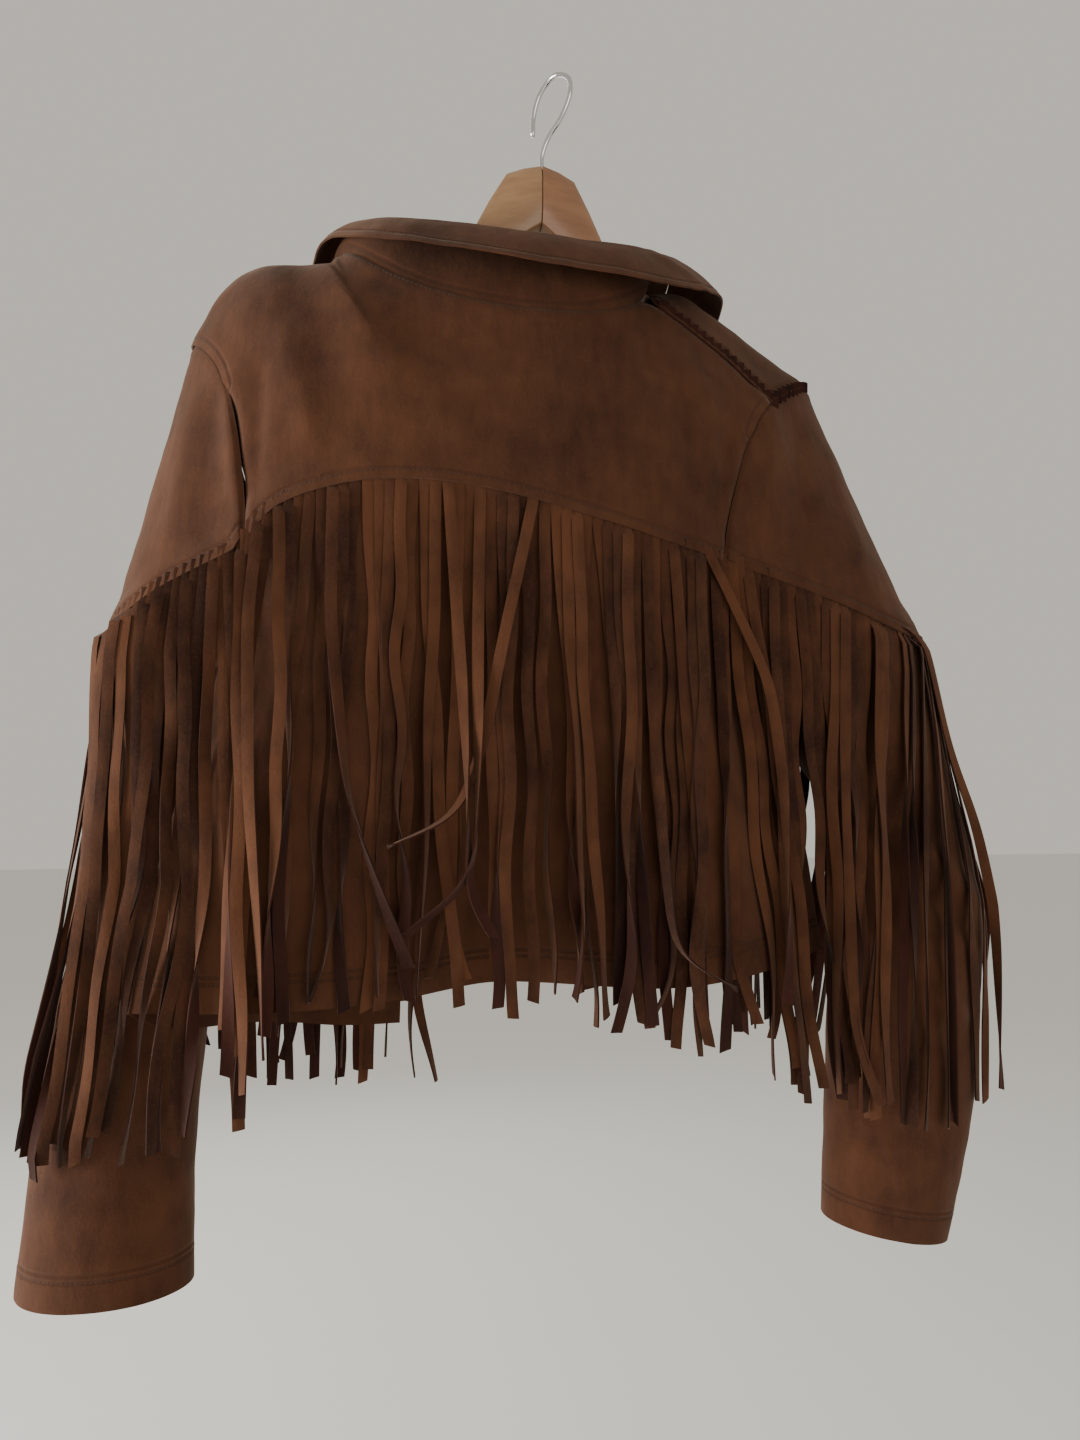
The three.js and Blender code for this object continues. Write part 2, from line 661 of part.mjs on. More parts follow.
const foldLine = collarPlaces.map((w) => pointAlong(COLLAR_FOLD, 'w', w));
const fallEdge = collarPlaces.map((w) => pointAlong(COLLAR_EDGE, 'w', w));
const standGrid = fractions(STAND_ROWS)
  .map((v) => foldLine.map((p, j) => p.clone().lerp(neckLine[j], v)));
const neckCorners = [FRONT_NECK_COLUMNS, FRONT_NECK_COLUMNS + BACK_NECK_COLUMNS];
const footGap = (j) => (neckCorners.some((corner) => Math.abs(j - corner) <= 1) ? NECK_GAP : SEAM_GAP);
panel('collar_stand', standGrid, { footGap });
panel('collar_fall', fractions(FALL_ROWS).map((v) => foldLine.map((p, j) => {
  const point = p.clone().lerp(fallEdge[j], v);
  point.z += FOLD_ROLL * Math.sin(Math.PI * v);
  return point;
})), { side: -1 });

// ---- Sleeves ----
/** Point of a sleeve at s down its length and at one turn round it. */
function sleevePoint(hand, s, turn) {
  const outer = hand === 'left' ? -1 : 1;
  const angle = THREE.MathUtils.degToRad(turn);
  const rings = SLEEVE_SECTIONS[hand].map((row) => {
    const tilt = THREE.MathUtils.degToRad(row.tilt);
    const across = outer * row.wide * Math.cos(angle);
    return {
      s: row.s,
      x: row.x + across * Math.cos(tilt),
      y: row.y - row.deep * Math.sin(angle),
      z: row.z + across * Math.sin(tilt),
    };
  });
  const { x, y, z } = armholePoint(hand, turn);
  return pointAlong([{ s: 0, x, y, z }, ...rings], 's', s);
}

/** Place down a sleeve at which its cap ends, 0 where the cap doesn't reach. */
function capPlace(hand, turn) {
  const signed = turn > 180 ? turn - 360 : turn;
  if (Math.abs(signed) > 90 - CAP_END) return 0;
  const height = along(CAP_EDGE[hand], 'turn', 'z', signed);
  let low = 0;
  let high = 0.5;
  for (let i = 0; i < HALVINGS; i += 1) {
    const middle = (low + high) / 2;
    if (sleevePoint(hand, middle, turn).z > height) low = middle;
    else high = middle;
  }
  return low;
}

['left', 'right'].forEach((hand) => {
  const turns = sleeveTurns(hand);
  const side = hand === 'left' ? 1 : -1;
  const sleeve = fractions(SLEEVE_ROWS).map((v) => turns.map((turn) => {
    const start = capPlace(hand, turn);
    return sleevePoint(hand, start + (1 - start) * v, turn);
  }));
  panel(`sleeve_${hand}`, sleeve, { wrapped: true, side });
  const seam = SEAM_TURN[hand];
  const capTurns = [
    ...fractions(YOKE_ROWS).map((f) => -90 + (seam + 90) * f),
    ...fractions(YOKE_ROWS).slice(1).map((f) => seam + (90 - seam) * f),
  ];
  const cap = fractions(CAP_ROWS).map((v) => capTurns
    .map((turn) => sleevePoint(hand, capPlace(hand, turn) * v, turn)));
  panel(`sleeve_cap_${hand}`, cap, { side, pointed: true });
});

/** Cuts the two points of a cap, where its edges meet, back to a narrow end. */
function bluntPoints({ grid, normals }) {
  const last = grid[0].length - 1;
  grid.forEach((row, i) => [[0, 1], [last, last - 1]].forEach(([tip, next]) => {
    row[tip].lerp(row[next], POINT_CUT);
    normals[i][tip].lerp(normals[i][next], POINT_CUT).normalize();
  }));
}

shareNormals();
panels.filter((one) => one.pointed).forEach(bluntPoints);
panels.forEach((one) => {
  const half = one.thickness / 2;
  const geometry = wallGeometry(drawInEdges(one), one.normals, one.wrapped, -half, half, one.side < 0);
  add(one.name, geometry, suede());
});

// ---- Fringe: curtains that lie on the cloth below each yoke and cap ----
/** A curtain made from a panel's own points, moved out, from one column to another. */
function curtain(name, source, order, rows, hang = []) {
  const lift = HIDE / 2 + LEAF_GAP;
  const pick = (field) => source[field].slice(0, rows + 1).map((row) => order.map((j) => row[j].clone()));
  const [grid, normals] = [pick('grid'), pick('normals')];
  hang.forEach((drop) => {
    grid.push(order.map((j) => source.grid[rows][j].clone().add(new THREE.Vector3(0, 0, -drop))));
    normals.push(normals[rows].map((n) => n.clone().setZ(0).normalize()));
  });
  if (hang.length) normals[rows].forEach((n) => n.setZ(0).normalize());
  const drawn = drawInEdges({ grid, wrapped: false });
  const flip = source.side < 0;
  add(name, wallGeometry(drawn, normals, false, lift, lift + FRINGE_DEPTH, flip), strandSuede());
}

const named = (name) => panels.find((one) => one.name === name);
const range = (from, to) => Array.from({ length: to - from + 1 }, (_, i) => from + i);
curtain('fringe_back', named('back_panel'), range(1, backColumns - 1), BACK_FRINGE_ROWS);
['left', 'right'].forEach((hand) => {
  const front = fronts[hand];
  const frontLast = front.grid[0].length - 1;
  const frontRows = front.grid.length - 1;
  const across = range(FRONT_FRINGE_START, frontLast);
  curtain(`fringe_front_${hand}`, front, across, frontRows, FRONT_FRINGE_DROPS);
  const turns = sleeveTurns(hand).map((turn) => (turn > 180 ? turn - 360 : turn));
  const order = turns.map((turn, j) => ({ turn, j }))
    .filter(({ turn }) => Math.abs(turn) < SLEEVE_FRINGE_TURN)
    .sort((a, b) => a.turn - b.turn)
    .map(({ j }) => j);
  curtain(`fringe_sleeve_${hand}`, named(`sleeve_${hand}`), order, SLEEVE_FRINGE_ROWS);
});

// ---- Hanger ----
/** One wooden arm: rounded sections from the mitre at the middle to its tip. */
function hangerArm(outer) {
  const corners = ARM_CORNERS;
  const stations = fractions(ARM_STATIONS);
  const drop = THREE.MathUtils.degToRad(HANGER_TILT);
  const grid = stations.map((f) => {
    const reach = HANGER_ARM[HANGER_ARM.length - 1].d;
    const d = f * reach;
    const row = (column) => along(HANGER_ARM, 'd', column, d);
    const middle = (row('top') + row('bottom')) / 2;
    const tall = (row('top') - row('bottom')) / 2;
    const thick = row('thick') / 2;
    return Array.from({ length: corners }, (_, k) => {
      const angle = (2 * Math.PI * (k + 0.5)) / corners;
      const square = (value) => Math.sign(value) * Math.abs(value) ** ARM_SQUARENESS;
      return new THREE.Vector3(
        HANGER_MIDDLE + outer * (SEAM_GAP / 2 + d),
        row('back') + thick * square(Math.cos(angle)),
        middle + tall * square(Math.sin(angle)) - outer * d * Math.tan(drop),
      );
    });
  });
  const positions = grid.flat().flatMap((p) => p.toArray());
  const faces = [];
  const at = (i, j) => i * corners + (j % corners);
  const face = (a, b, c) => faces.push(...(outer > 0 ? [a, b, c] : [a, c, b]));
  for (let i = 0; i + 1 < grid.length; i += 1) {
    for (let j = 0; j < corners; j += 1) {
      face(at(i, j), at(i, j + 1), at(i + 1, j + 1));
      face(at(i, j), at(i + 1, j + 1), at(i + 1, j));
    }
  }
  const end = grid.length - 1;
  for (let j = 1; j + 1 < corners; j += 1) {
    face(at(0, 0), at(0, j + 1), at(0, j));
    face(at(end, 0), at(end, j), at(end, j + 1));
  }
  const geometry = new THREE.BufferGeometry();
  geometry.setAttribute('position', new THREE.Float32BufferAttribute(positions, 3));
  geometry.setIndex(faces);
  return geometry;
}

/** A closed three.js geometry as a solid that can be cut. */
function toSolid(geometry) {
  const bare = geometry.clone();
  bare.deleteAttribute('normal');
  bare.deleteAttribute('uv');
  const merged = mergeVertices(bare, 1e-4);
  return new wasm.Manifold(new wasm.Mesh({
    numProp: 3,
    vertProperties: new Float32Array(merged.attributes.position.array),
    triVerts: new Uint32Array(merged.index.array),
  }));
}

/** A cut solid as a three.js geometry. */
function toGeometry(solid) {
  const mesh = solid.getMesh();
  const geometry = new THREE.BufferGeometry();
  geometry.setAttribute('position', new THREE.BufferAttribute(mesh.vertProperties, 3));
  geometry.setIndex(new THREE.BufferAttribute(mesh.triVerts, 1));
  geometry.computeVertexNormals();
  return geometry;
}

/** Point of the hook's centre line, turned about the upright through the crown. */
function hookPoint(across, up) {
  const turn = THREE.MathUtils.degToRad(HOOK_TURN);
  return new THREE.Vector3(across * Math.cos(turn), -across * Math.sin(turn), up);
}

const hookPoints = HOOK_LINE.map((row) => hookPoint(row.across, row.up));
const shankTop = hookPoints[0];
const shankFoot = shankTop.clone().setZ(shankTop.z - SHANK_DEPTH);
const bore = new THREE.CylinderGeometry(
  WIRE / 2 + BORE_CLEARANCE,
  WIRE / 2 + BORE_CLEARANCE,
  SHANK_DEPTH + BORE_PROUD + BORE_DEEPER,
  12,
);
bore.rotateX(Math.PI / 2);
bore.translate(shankTop.x, shankTop.y, shankFoot.z + (SHANK_DEPTH + BORE_PROUD - BORE_DEEPER) / 2);
const boreSolid = toSolid(bore);
add('hanger_arm_left', toGeometry(toSolid(hangerArm(-1)).subtract(boreSolid)), wood());
add('hanger_arm_right', toGeometry(toSolid(hangerArm(1)).subtract(boreSolid)), wood());

const wireShape = new THREE.Shape().absarc(0, 0, WIRE / 2, 0, 2 * Math.PI);
const hookPath = new THREE.CatmullRomCurve3([shankFoot, ...hookPoints], false, 'centripetal');
add('hanger_hook', new THREE.ExtrudeGeometry(wireShape, {
  steps: 44,
  curveSegments: 5,
  extrudePath: hookPath,
}), chrome());

export default jacket;
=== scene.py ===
"""A fringed buckskin jacket on its wooden hanger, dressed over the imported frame.

Sizes in the tables and dataclasses are millimetres, and meshes are metres.
"""

import logging
import math
from dataclasses import dataclass, field
from enum import Enum

import bmesh
import bpy
import numpy as np
from mathutils import Matrix, Vector, noise
from mathutils.bvhtree import BVHTree
from mathutils.kdtree import KDTree


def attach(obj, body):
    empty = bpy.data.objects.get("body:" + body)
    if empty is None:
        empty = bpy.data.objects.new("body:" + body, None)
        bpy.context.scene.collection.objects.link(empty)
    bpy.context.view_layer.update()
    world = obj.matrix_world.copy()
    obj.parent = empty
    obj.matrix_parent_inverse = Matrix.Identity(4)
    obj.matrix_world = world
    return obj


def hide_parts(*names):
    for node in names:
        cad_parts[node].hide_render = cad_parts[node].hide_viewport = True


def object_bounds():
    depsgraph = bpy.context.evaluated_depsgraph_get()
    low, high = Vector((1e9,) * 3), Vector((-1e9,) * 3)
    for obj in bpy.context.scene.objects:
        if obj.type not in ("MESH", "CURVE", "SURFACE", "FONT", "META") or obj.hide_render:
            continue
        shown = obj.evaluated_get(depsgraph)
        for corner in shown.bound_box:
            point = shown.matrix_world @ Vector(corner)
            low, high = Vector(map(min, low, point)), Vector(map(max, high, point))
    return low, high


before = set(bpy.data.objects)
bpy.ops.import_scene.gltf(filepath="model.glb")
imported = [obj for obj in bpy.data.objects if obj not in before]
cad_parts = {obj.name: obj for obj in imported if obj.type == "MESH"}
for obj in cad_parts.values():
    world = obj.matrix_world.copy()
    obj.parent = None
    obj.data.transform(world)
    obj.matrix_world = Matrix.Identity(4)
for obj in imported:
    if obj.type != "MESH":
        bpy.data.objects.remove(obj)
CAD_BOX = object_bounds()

MM = 0.001
BODY = "root"

log = logging.getLogger("jacket")

Colour = tuple[float, float, float]
Place = tuple[float, float, float]


# ---------------------------------------------------------------- shader maths
class Value:
    """A shader value on which Python arithmetic adds Math nodes."""

    def __init__(self, socket: bpy.types.NodeSocket) -> None:
        """Wraps the output socket that gives the value."""
        self.socket = socket

    def _math(self, operation: str, *terms: "Value | float") -> "Value":
        """Adds one Math node.

        Args:
            operation: the node's operation.
            terms: its inputs, in order.

        Returns:
            The node's output.
        """
        tree = self.socket.id_data
        node = tree.nodes.new("ShaderNodeMath")
        node.operation = operation
        for slot, term in zip(node.inputs, terms):
            if isinstance(term, Value):
                tree.links.new(term.socket, slot)
            else:
                slot.default_value = term
        return Value(node.outputs[0])

    def __add__(self, other: "Value | float") -> "Value":
        """The sum."""
        return self._math("ADD", self, other)

    __radd__ = __add__

    def __sub__(self, other: "Value | float") -> "Value":
        """The difference."""
        return self._math("SUBTRACT", self, other)

    def __rsub__(self, other: float) -> "Value":
        """The difference from a number."""
        return self._math("SUBTRACT", other, self)

    def __mul__(self, other: "Value | float") -> "Value":
        """The product."""
        return self._math("MULTIPLY", self, other)

    __rmul__ = __mul__

    def __truediv__(self, other: "Value | float") -> "Value":
        """The quotient."""
        return self._math("DIVIDE", self, other)

    def at_least(self, low: float) -> "Value":
        """The value, no lower than a limit."""
        return self._math("MAXIMUM", self, low)

    def clamped(self) -> "Value":
        """The value kept between 0 and 1."""
        return self._math("MINIMUM", self.at_least(0.0), 1.0)

    def well(self, centre: float, half_width: float) -> "Value":
        """1 where the value is at the centre, falling smoothly to 0 at half a width from it."""
        off = (self - centre) / half_width
        rise = (1 - off * off).at_least(0.0)
        return rise * rise


class Surface:
    """The node tree of one material."""

    def __init__(self, name: str) -> None:
        """Makes an empty material of that name."""
        self.material = bpy.data.materials.new(name)
        self.material.use_nodes = True
        self.tree = self.material.node_tree
        self.tree.nodes.clear()

    def node(self, kind: str, settings: dict | None = None, inputs: dict | None = None) -> bpy.types.Node:
        """Adds a node.

        Args:
            kind: the node's type.
            settings: attributes that are set first.
            inputs: socket name or number to a number, a colour, a Value or an output socket.

        Returns:
            The node.
        """
        made = self.tree.nodes.new(kind)
        for name, value in (settings or {}).items():
            setattr(made, name, value)
        for name, value in (inputs or {}).items():
            slot = made.inputs[name]
            source = value.socket if isinstance(value, Value) else value
            if isinstance(source, bpy.types.NodeSocket):
                self.tree.links.new(source, slot)
            else:
                slot.default_value = source
        return made

    def places(self) -> bpy.types.NodeSocket:
        """Object coordinates."""
        return self.node("ShaderNodeTexCoord").outputs["Object"]

    def stretched(self, scale: Place, turn: float = 0.0) -> bpy.types.NodeSocket:
        """Object coordinates, scaled along each axis and turned about Y."""
        settings = {"Vector": self.places(), "Rotation": (0.0, turn, 0.0), "Scale": scale}
        return self.node("ShaderNodeMapping", inputs=settings).outputs["Vector"]

    def mottle(self, scale: float, detail: float = 2.0, source: bpy.types.NodeSocket | None = None) -> Value:
        """Noise from 0 to 1 in the object's own space.

        Args:
            scale: waves in a metre.
            detail: finer octaves.
            source: coordinates, if not the object's own.

        Returns:
            The noise.
        """
        made = self.node(
            "ShaderNodeTexNoise",
            inputs={"Vector": source or self.places(), "Scale": scale, "Detail": detail, "Roughness": 0.55},
        )
        return Value(made.outputs["Fac"])

    def attribute(self, name: str) -> Value:
        """One of the mesh's own numbers."""
        return Value(self.node("ShaderNodeAttribute", {"attribute_name": name}).outputs["Fac"])

    def mix(self, share: Value, first: object, second: object) -> bpy.types.NodeSocket:
        """A colour between two others.

        Args:
            share: 0 for the first, 1 for the second.
            first: a colour or a socket.
            second: a colour or a socket.

        Returns:
            The colour's socket.
        """
        colours = [(*c, 1.0) if isinstance(c, tuple) else c for c in (first, second)]
        made = self.node(
            "ShaderNodeMix", {"data_type": "RGBA"}, {0: share.clamped(), 6: colours[0], 7: colours[1]}
        )
        return made.outputs[2]

    def finish(self, inputs: dict, height: Value | None = None) -> bpy.types.Material:
        """Ends the tree in a Principled shader.

        Args:
            inputs: the shader's sockets.
            height: the relief in millimetres.

        Returns:
            The material.
        """
        links = dict(inputs)
        if height is not None:
            bump = self.node("ShaderNodeBump", inputs={"Height": height, "Distance": MM, "Strength": 1.0})
            links["Normal"] = bump.outputs["Normal"]
        shader = self.node("ShaderNodeBsdfPrincipled", inputs=links)
        self.node("ShaderNodeOutputMaterial", inputs={"Surface": shader.outputs[0]})
        return self.material


# ---------------------------------------------------------------- finishes
@dataclass(frozen=True)
class SuedeFinish:
    """Napped hide: mottled matte colour with brush marks, stitch channels and seams in relief, and painted
    shade darkening the channels and seams.
    """

    name: str
    shade: Colour
    bloom: Colour
    worn: Colour
    channels: tuple[float, ...] = ()
    tinted: bool = False

    def material(self) -> bpy.types.Material:
        """Makes the material."""
        surface = Surface(self.name)
        broad = surface.mottle(13.0, 3.0)
        patch = surface.mottle(46.0, 3.0)
        brushed = surface.mottle(1.0, 3.0, surface.stretched((120.0, 120.0, 34.0)))
        speck = surface.mottle(520.0, 2.0)
        cast = (broad - 0.5) * 1.5 + (patch - 0.5) * 0.9 + (brushed - 0.5) * 0.8 + 0.5
        if self.tinted:
            cast = cast + surface.attribute("strand_cast") * 0.4
        colour = surface.mix(cast, self.shade, self.bloom)
        colour = surface.mix((speck - 0.5) * 0.9, colour, self.worn)
        height = (speck - 0.5) * 0.22 + (brushed - 0.5) * 0.35 + (patch - 0.5) * 0.8
        for inset in self.channels:
            foot = surface.attribute("foot_mm")
            height = height - foot.well(inset, 2.0) * 0.55
            # painted shade: each stitch channel's colour is pulled towards the dark shade colour
            colour = surface.mix(foot.well(inset, 1.5) * 0.35, colour, self.shade)
        if self.channels:
            seam = surface.attribute("seam_mm")
            height = height - seam.well(0.0, 3.5) * 0.9
            # painted shade: the colour along each seam is pulled towards the dark shade colour
            colour = surface.mix(seam.well(0.0, 2.2) * 0.4, colour, self.shade)
        return surface.finish(
            {
                "Base Color": colour,
                "Roughness": 0.92,
                "Specular IOR Level": 0.18,
                "Sheen Weight": 0.12,
                "Sheen Roughness": 0.45,
                "Sheen Tint": (0.95, 0.72, 0.58, 1.0),
            },
            height,
        )


@dataclass(frozen=True)
class WoodFinish:
    """Varnished light wood with its grain along one axis."""

    name: str
    early: Colour
    late: Colour
    turn: float

    def material(self) -> bpy.types.Material:
        """Makes the material."""
        surface = Surface(self.name)
        turned = surface.stretched((9.0, 60.0, 95.0), self.turn)
        grain = surface.mottle(1.0, 5.0, turned)
        pores = surface.mottle(9.0, 2.0, turned)
        share = (grain - 0.42) * 3.0 + (pores - 0.5) * 0.5
        colour = surface.mix(share, self.early, self.late)
        return surface.finish(
            {"Base Color": colour, "Roughness": 0.42, "Coat Weight": 0.25, "Coat Roughness": 0.25},
            (grain - 0.5) * 0.12,
        )


@dataclass(frozen=True)
class PlainFinish:
    """An even finish: thread, wire, floor."""

    name: str
    colour: Colour
    roughness: float
    metallic: float = 0.0
    wear: float = 0.0

    def material(self) -> bpy.types.Material:
        """Makes the material."""
        surface = Surface(self.name)
        cloudy = surface.mottle(60.0, 2.0)
        darker = tuple(c * (1 - self.wear) for c in self.colour)
        colour = surface.mix(cloudy, self.colour, darker)
        return surface.finish(
            {
                "Base Color": colour,
                "Metallic": self.metallic,
                "Roughness": (cloudy - 0.5) * (self.wear * 0.3) + self.roughness,
            }
        )


HIDE_SHADES = ((0.033, 0.0112, 0.0052), (0.077, 0.0288, 0.0125), (0.09, 0.036, 0.0165))
SUEDE = SuedeFinish("suede", *HIDE_SHADES, (5.6,))
HEMMED = SuedeFinish("suede_hemmed", *HIDE_SHADES, (17.0, 21.0))
STRAND_SHADES = ((0.022, 0.0072, 0.0034), (0.082, 0.030, 0.0128), (0.09, 0.036, 0.0165))
REVERSE_SHADES = ((0.013, 0.0033, 0.0019), (0.032, 0.0082, 0.0045), (0.04, 0.011, 0.006))
INSIDE_SHADES = ((0.028, 0.0095, 0.0044), (0.066, 0.0245, 0.0105), (0.078, 0.031, 0.014))
STRAND = SuedeFinish("strand_face", *STRAND_SHADES, tinted=True)
REVERSE = SuedeFinish("suede_reverse", *REVERSE_SHADES, tinted=True)
INSIDE = SuedeFinish("suede_inside", *INSIDE_SHADES)
THREAD = PlainFinish("thread", (0.042, 0.017, 0.008), 0.7, wear=0.3)
WIRE = PlainFinish("wire_chrome", (0.62, 0.62, 0.63), 0.16, 1.0, 0.1)
FLOOR = PlainFinish("pale_floor", (0.80, 0.80, 0.78), 0.8)
WOOD_LEFT = WoodFinish("wood_left", (0.25, 0.14, 0.066), (0.165, 0.08, 0.034), 0.75)
WOOD_RIGHT = WoodFinish("wood_right", (0.26, 0.12, 0.052), (0.165, 0.066, 0.027), -0.75)


# ---------------------------------------------------------------- folds
class Facing(Enum):
    """The side of the jacket that something is on, as the direction it looks."""

    BACK = (0.0, -1.0, 0.0)
    FRONT = (0.0, 1.0, 0.0)


CREASE_END = 0.25  # the share of a fold over which each end fades out
FACING_GAIN = 2.2  # how fast a fold comes in where the cloth turns to its side


@dataclass(frozen=True)
class Crease:
    """A soft fold: its line as seen from one side, its push outwards and its spread."""

    facing: Facing
    line: tuple[tuple[float, float], ...]
    push: float
    spread: float
    nodes: tuple[str, ...]

    def lift(self, places: np.ndarray, normals: np.ndarray) -> np.ndarray:
        """How far the fold moves each place outwards.

        Args:
            places: rows of x, y, z in millimetres.
            normals: outward directions there.

        Returns:
            One distance for each place.
        """
        points = np.array(self.line, float)
        run = np.concatenate([[0.0], np.cumsum(np.linalg.norm(np.diff(points, axis=0), axis=1))])
        seen = places[:, (0, 2)]
        nearest = np.full(len(places), 1e9)
        share = np.zeros(len(places))
        for start, end, low, high in zip(points[:-1], points[1:], run[:-1], run[1:]):
            step = end - start
            t = np.clip(((seen - start) @ step) / (step @ step), 0.0, 1.0)
            off = np.linalg.norm(seen - (start + t[:, None] * step), axis=1)
            closer = off < nearest
            nearest = np.where(closer, off, nearest)
            share = np.where(closer, (low + t * (high - low)) / run[-1], share)
        taper = np.clip(share / CREASE_END, 0, 1) * np.clip((1 - share) / CREASE_END, 0, 1)
        taper = taper * (2 - taper)
        shown = np.clip(normals @ np.array(self.facing.value) * FACING_GAIN, 0, 1)
        return self.push * taper * shown * np.exp(-((nearest / self.spread) ** 2))


SLEEVE_L = ("sleeve_left",)
SLEEVE_R = ("sleeve_right",)
BODY_ALL = ("back_panel", "front_left", "front_right")

BACK, FRONT = Facing.BACK, Facing.FRONT

CREASES = (
    # back yoke and shoulders
    Crease(BACK, ((-186, -205), (-172, -245), (-160, -288)), 2.2, 11, ("back_yoke",)),
    Crease(BACK, ((-196, -222), (-197, -275), (-199, -325)), -2.6, 6, ("back_yoke",)),
    Crease(BACK, ((-214, -226), (-213, -275), (-208, -330)), 2.4, 6, ("sleeve_cap_left",)),
    Crease(BACK, ((-241, -236), (-246, -290), (-251, -345)), 2.2, 9, ("sleeve_cap_left",)),
    Crease(BACK, ((-228, -240), (-228, -300), (-227, -352)), -2.0, 8, ("sleeve_cap_left",)),
    Crease(BACK, ((-120, -205), (-70, -222), (-10, -222)), -1.4, 14, ("back_yoke",)),
    Crease(BACK, ((-95, -250), (-60, -280), (-40, -306)), 1.2, 16, ("back_yoke",)),
    Crease(BACK, ((48, -196), (72, -236), (86, -286)), -1.8, 12, ("back_yoke",)),
    Crease(BACK, ((92, -205), (98, -250), (96, -310)), 1.8, 10, ("back_yoke",)),
    Crease(BACK, ((113, -245), (108, -290), (100, -335)), -1.6, 6, ("back_yoke",)),
    Crease(BACK, ((158, -222), (146, -270), (137, -340)), 2.6, 9, ("sleeve_cap_right",)),
    Crease(BACK, ((176, -232), (170, -290), (166, -360)), -2.4, 9, ("sleeve_cap_right",)),
    Crease(BACK, ((206, -250), (214, -310), (218, -370)), 1.8, 10, ("sleeve_cap_right",)),
    Crease(FRONT, ((-190, -210), (-178, -260), (-170, -320)), -2.2, 11, ("front_yoke_left",)),
    Crease(FRONT, ((-140, -200), (-130, -260), (-135, -330)), 1.8, 13, ("front_yoke_left",)),
    Crease(FRONT, ((110, -205), (106, -260), (112, -320)), -2.0, 12, ("front_yoke_right",)),
    Crease(FRONT, ((70, -230), (60, -280), (66, -335)), 1.6, 12, ("front_yoke_right",)),
    Crease(FRONT, ((-236, -235), (-238, -290), (-243, -350)), -2.2, 9, ("sleeve_cap_left",)),
    Crease(FRONT, ((178, -230), (176, -290), (184, -350)), -2.2, 9, ("sleeve_cap_right",)),
    # body below the yokes
    Crease(BACK, ((-150, -330), (-158, -430), (-172, -560), (-168, -628)), -3.0, 13, BODY_ALL),
    Crease(BACK, ((-112, -330), (-116, -450), (-104, -560), (-108, -628)), 2.4, 14, BODY_ALL),
    Crease(BACK, ((-64, -400), (-70, -500), (-58, -620)), -2.6, 12, BODY_ALL),
    Crease(BACK, ((-12, -340), (-20, -470), (-6, -610)), 2.0, 14, BODY_ALL),
    Crease(BACK, ((46, -380), (38, -500), (52, -615)), -2.8, 12, BODY_ALL),
    Crease(BACK, ((96, -360), (100, -470), (112, -600)), 2.2, 13, BODY_ALL),
    Crease(BACK, ((134, -400), (142, -500), (148, -600)), -2.4, 10, BODY_ALL),
    Crease(FRONT, ((-170, -360), (-180, -470), (-172, -620)), 2.6, 13, BODY_ALL),
    Crease(FRONT, ((-130, -380), (-138, -500), (-128, -640)), -2.6, 13, BODY_ALL),
    Crease(FRONT, ((70, -370), (62, -490), (76, -620)), 2.6, 13, BODY_ALL),
    Crease(FRONT, ((112, -380), (120, -500), (110, -610)), -2.6, 13, BODY_ALL),
    # left sleeve
    Crease(BACK, ((-300, -400), (-290, -470), (-296, -560)), -2.4, 10, SLEEVE_L),
    Crease(BACK, ((-262, -470), (-282, -520), (-312, -548)), 2.6, 9, SLEEVE_L),
    Crease(BACK, ((-258, -508), (-280, -552), (-318, -580)), -2.8, 8, SLEEVE_L),
    Crease(BACK, ((-322, -640), (-290, -655), (-262, -690)), 1.8, 10, SLEEVE_L),
    Crease(BACK, ((-318, -735), (-284, -752), (-250, -745)), -1.4, 11, SLEEVE_L),
    Crease(BACK, ((-262, -700), (-252, -750), (-254, -800)), 1.3, 8, SLEEVE_L),
    Crease(FRONT, ((-300, -420), (-285, -500), (-305, -590)), -2.6, 11, SLEEVE_L),
    Crease(FRONT, ((-250, -540), (-285, -570), (-315, -560)), 3.0, 9, SLEEVE_L),
    Crease(FRONT, ((-255, -640), (-290, -665), (-322, -650)), -2.2, 10, SLEEVE_L),
    # right sleeve, with its sharp bend at the elbow
    Crease(BACK, ((148, -438), (190, -478), (232, -514), (282, -562), (318, -590)), 4.6, 9, SLEEVE_R),
    Crease(BACK, ((150, -462), (186, -496), (226, -534), (272, -580), (312, -612)), -6.5, 7, SLEEVE_R),
    Crease(BACK, ((258, -600), (280, -650), (294, -668)), 2.6, 6, SLEEVE_R),
    Crease(BACK, ((248, -606), (268, -660), (286, -690)), -2.4, 7, SLEEVE_R),
    Crease(BACK, ((236, -690), (256, -672), (274, -660)), 2.0, 6, SLEEVE_R),
    Crease(BACK, ((212, -560), (222, -620), (218, -690)), -2.2, 8, SLEEVE_R),
    Crease(BACK, ((230, -730), (262, -742), (292, -732)), -1.3, 9, SLEEVE_R),
    Crease(BACK, ((196, -470), (214, -440), (226, -400)), -2.2, 10, SLEEVE_R),
    Crease(FRONT, ((180, -470), (230, -500), (290, -505)), -3.6, 10, SLEEVE_R),
    Crease(FRONT, ((190, -520), (240, -540), (300, -560)), -4.2, 8, SLEEVE_R),
    Crease(FRONT, ((186, -495), (236, -520), (296, -532)), 3.4, 8, SLEEVE_R),
    Crease(FRONT, ((230, -600), (250, -660), (245, -720)), -2.4, 10, SLEEVE_R),
    # collar
    Crease(BACK, ((-118, -150), (-60, -160), (-20, -163)), 1.2, 6, ("collar_fall",)),
    Crease(BACK, ((60, -128), (92, -146), (118, -172)), 1.4, 5, ("collar_fall",)),
)


# ---------------------------------------------------------------- edges of a shell
LEVEL = 0.45  # how far up or down an edge looks before it is a head or a foot
FARTHEST = 60.0  # distances to an edge are cut off here


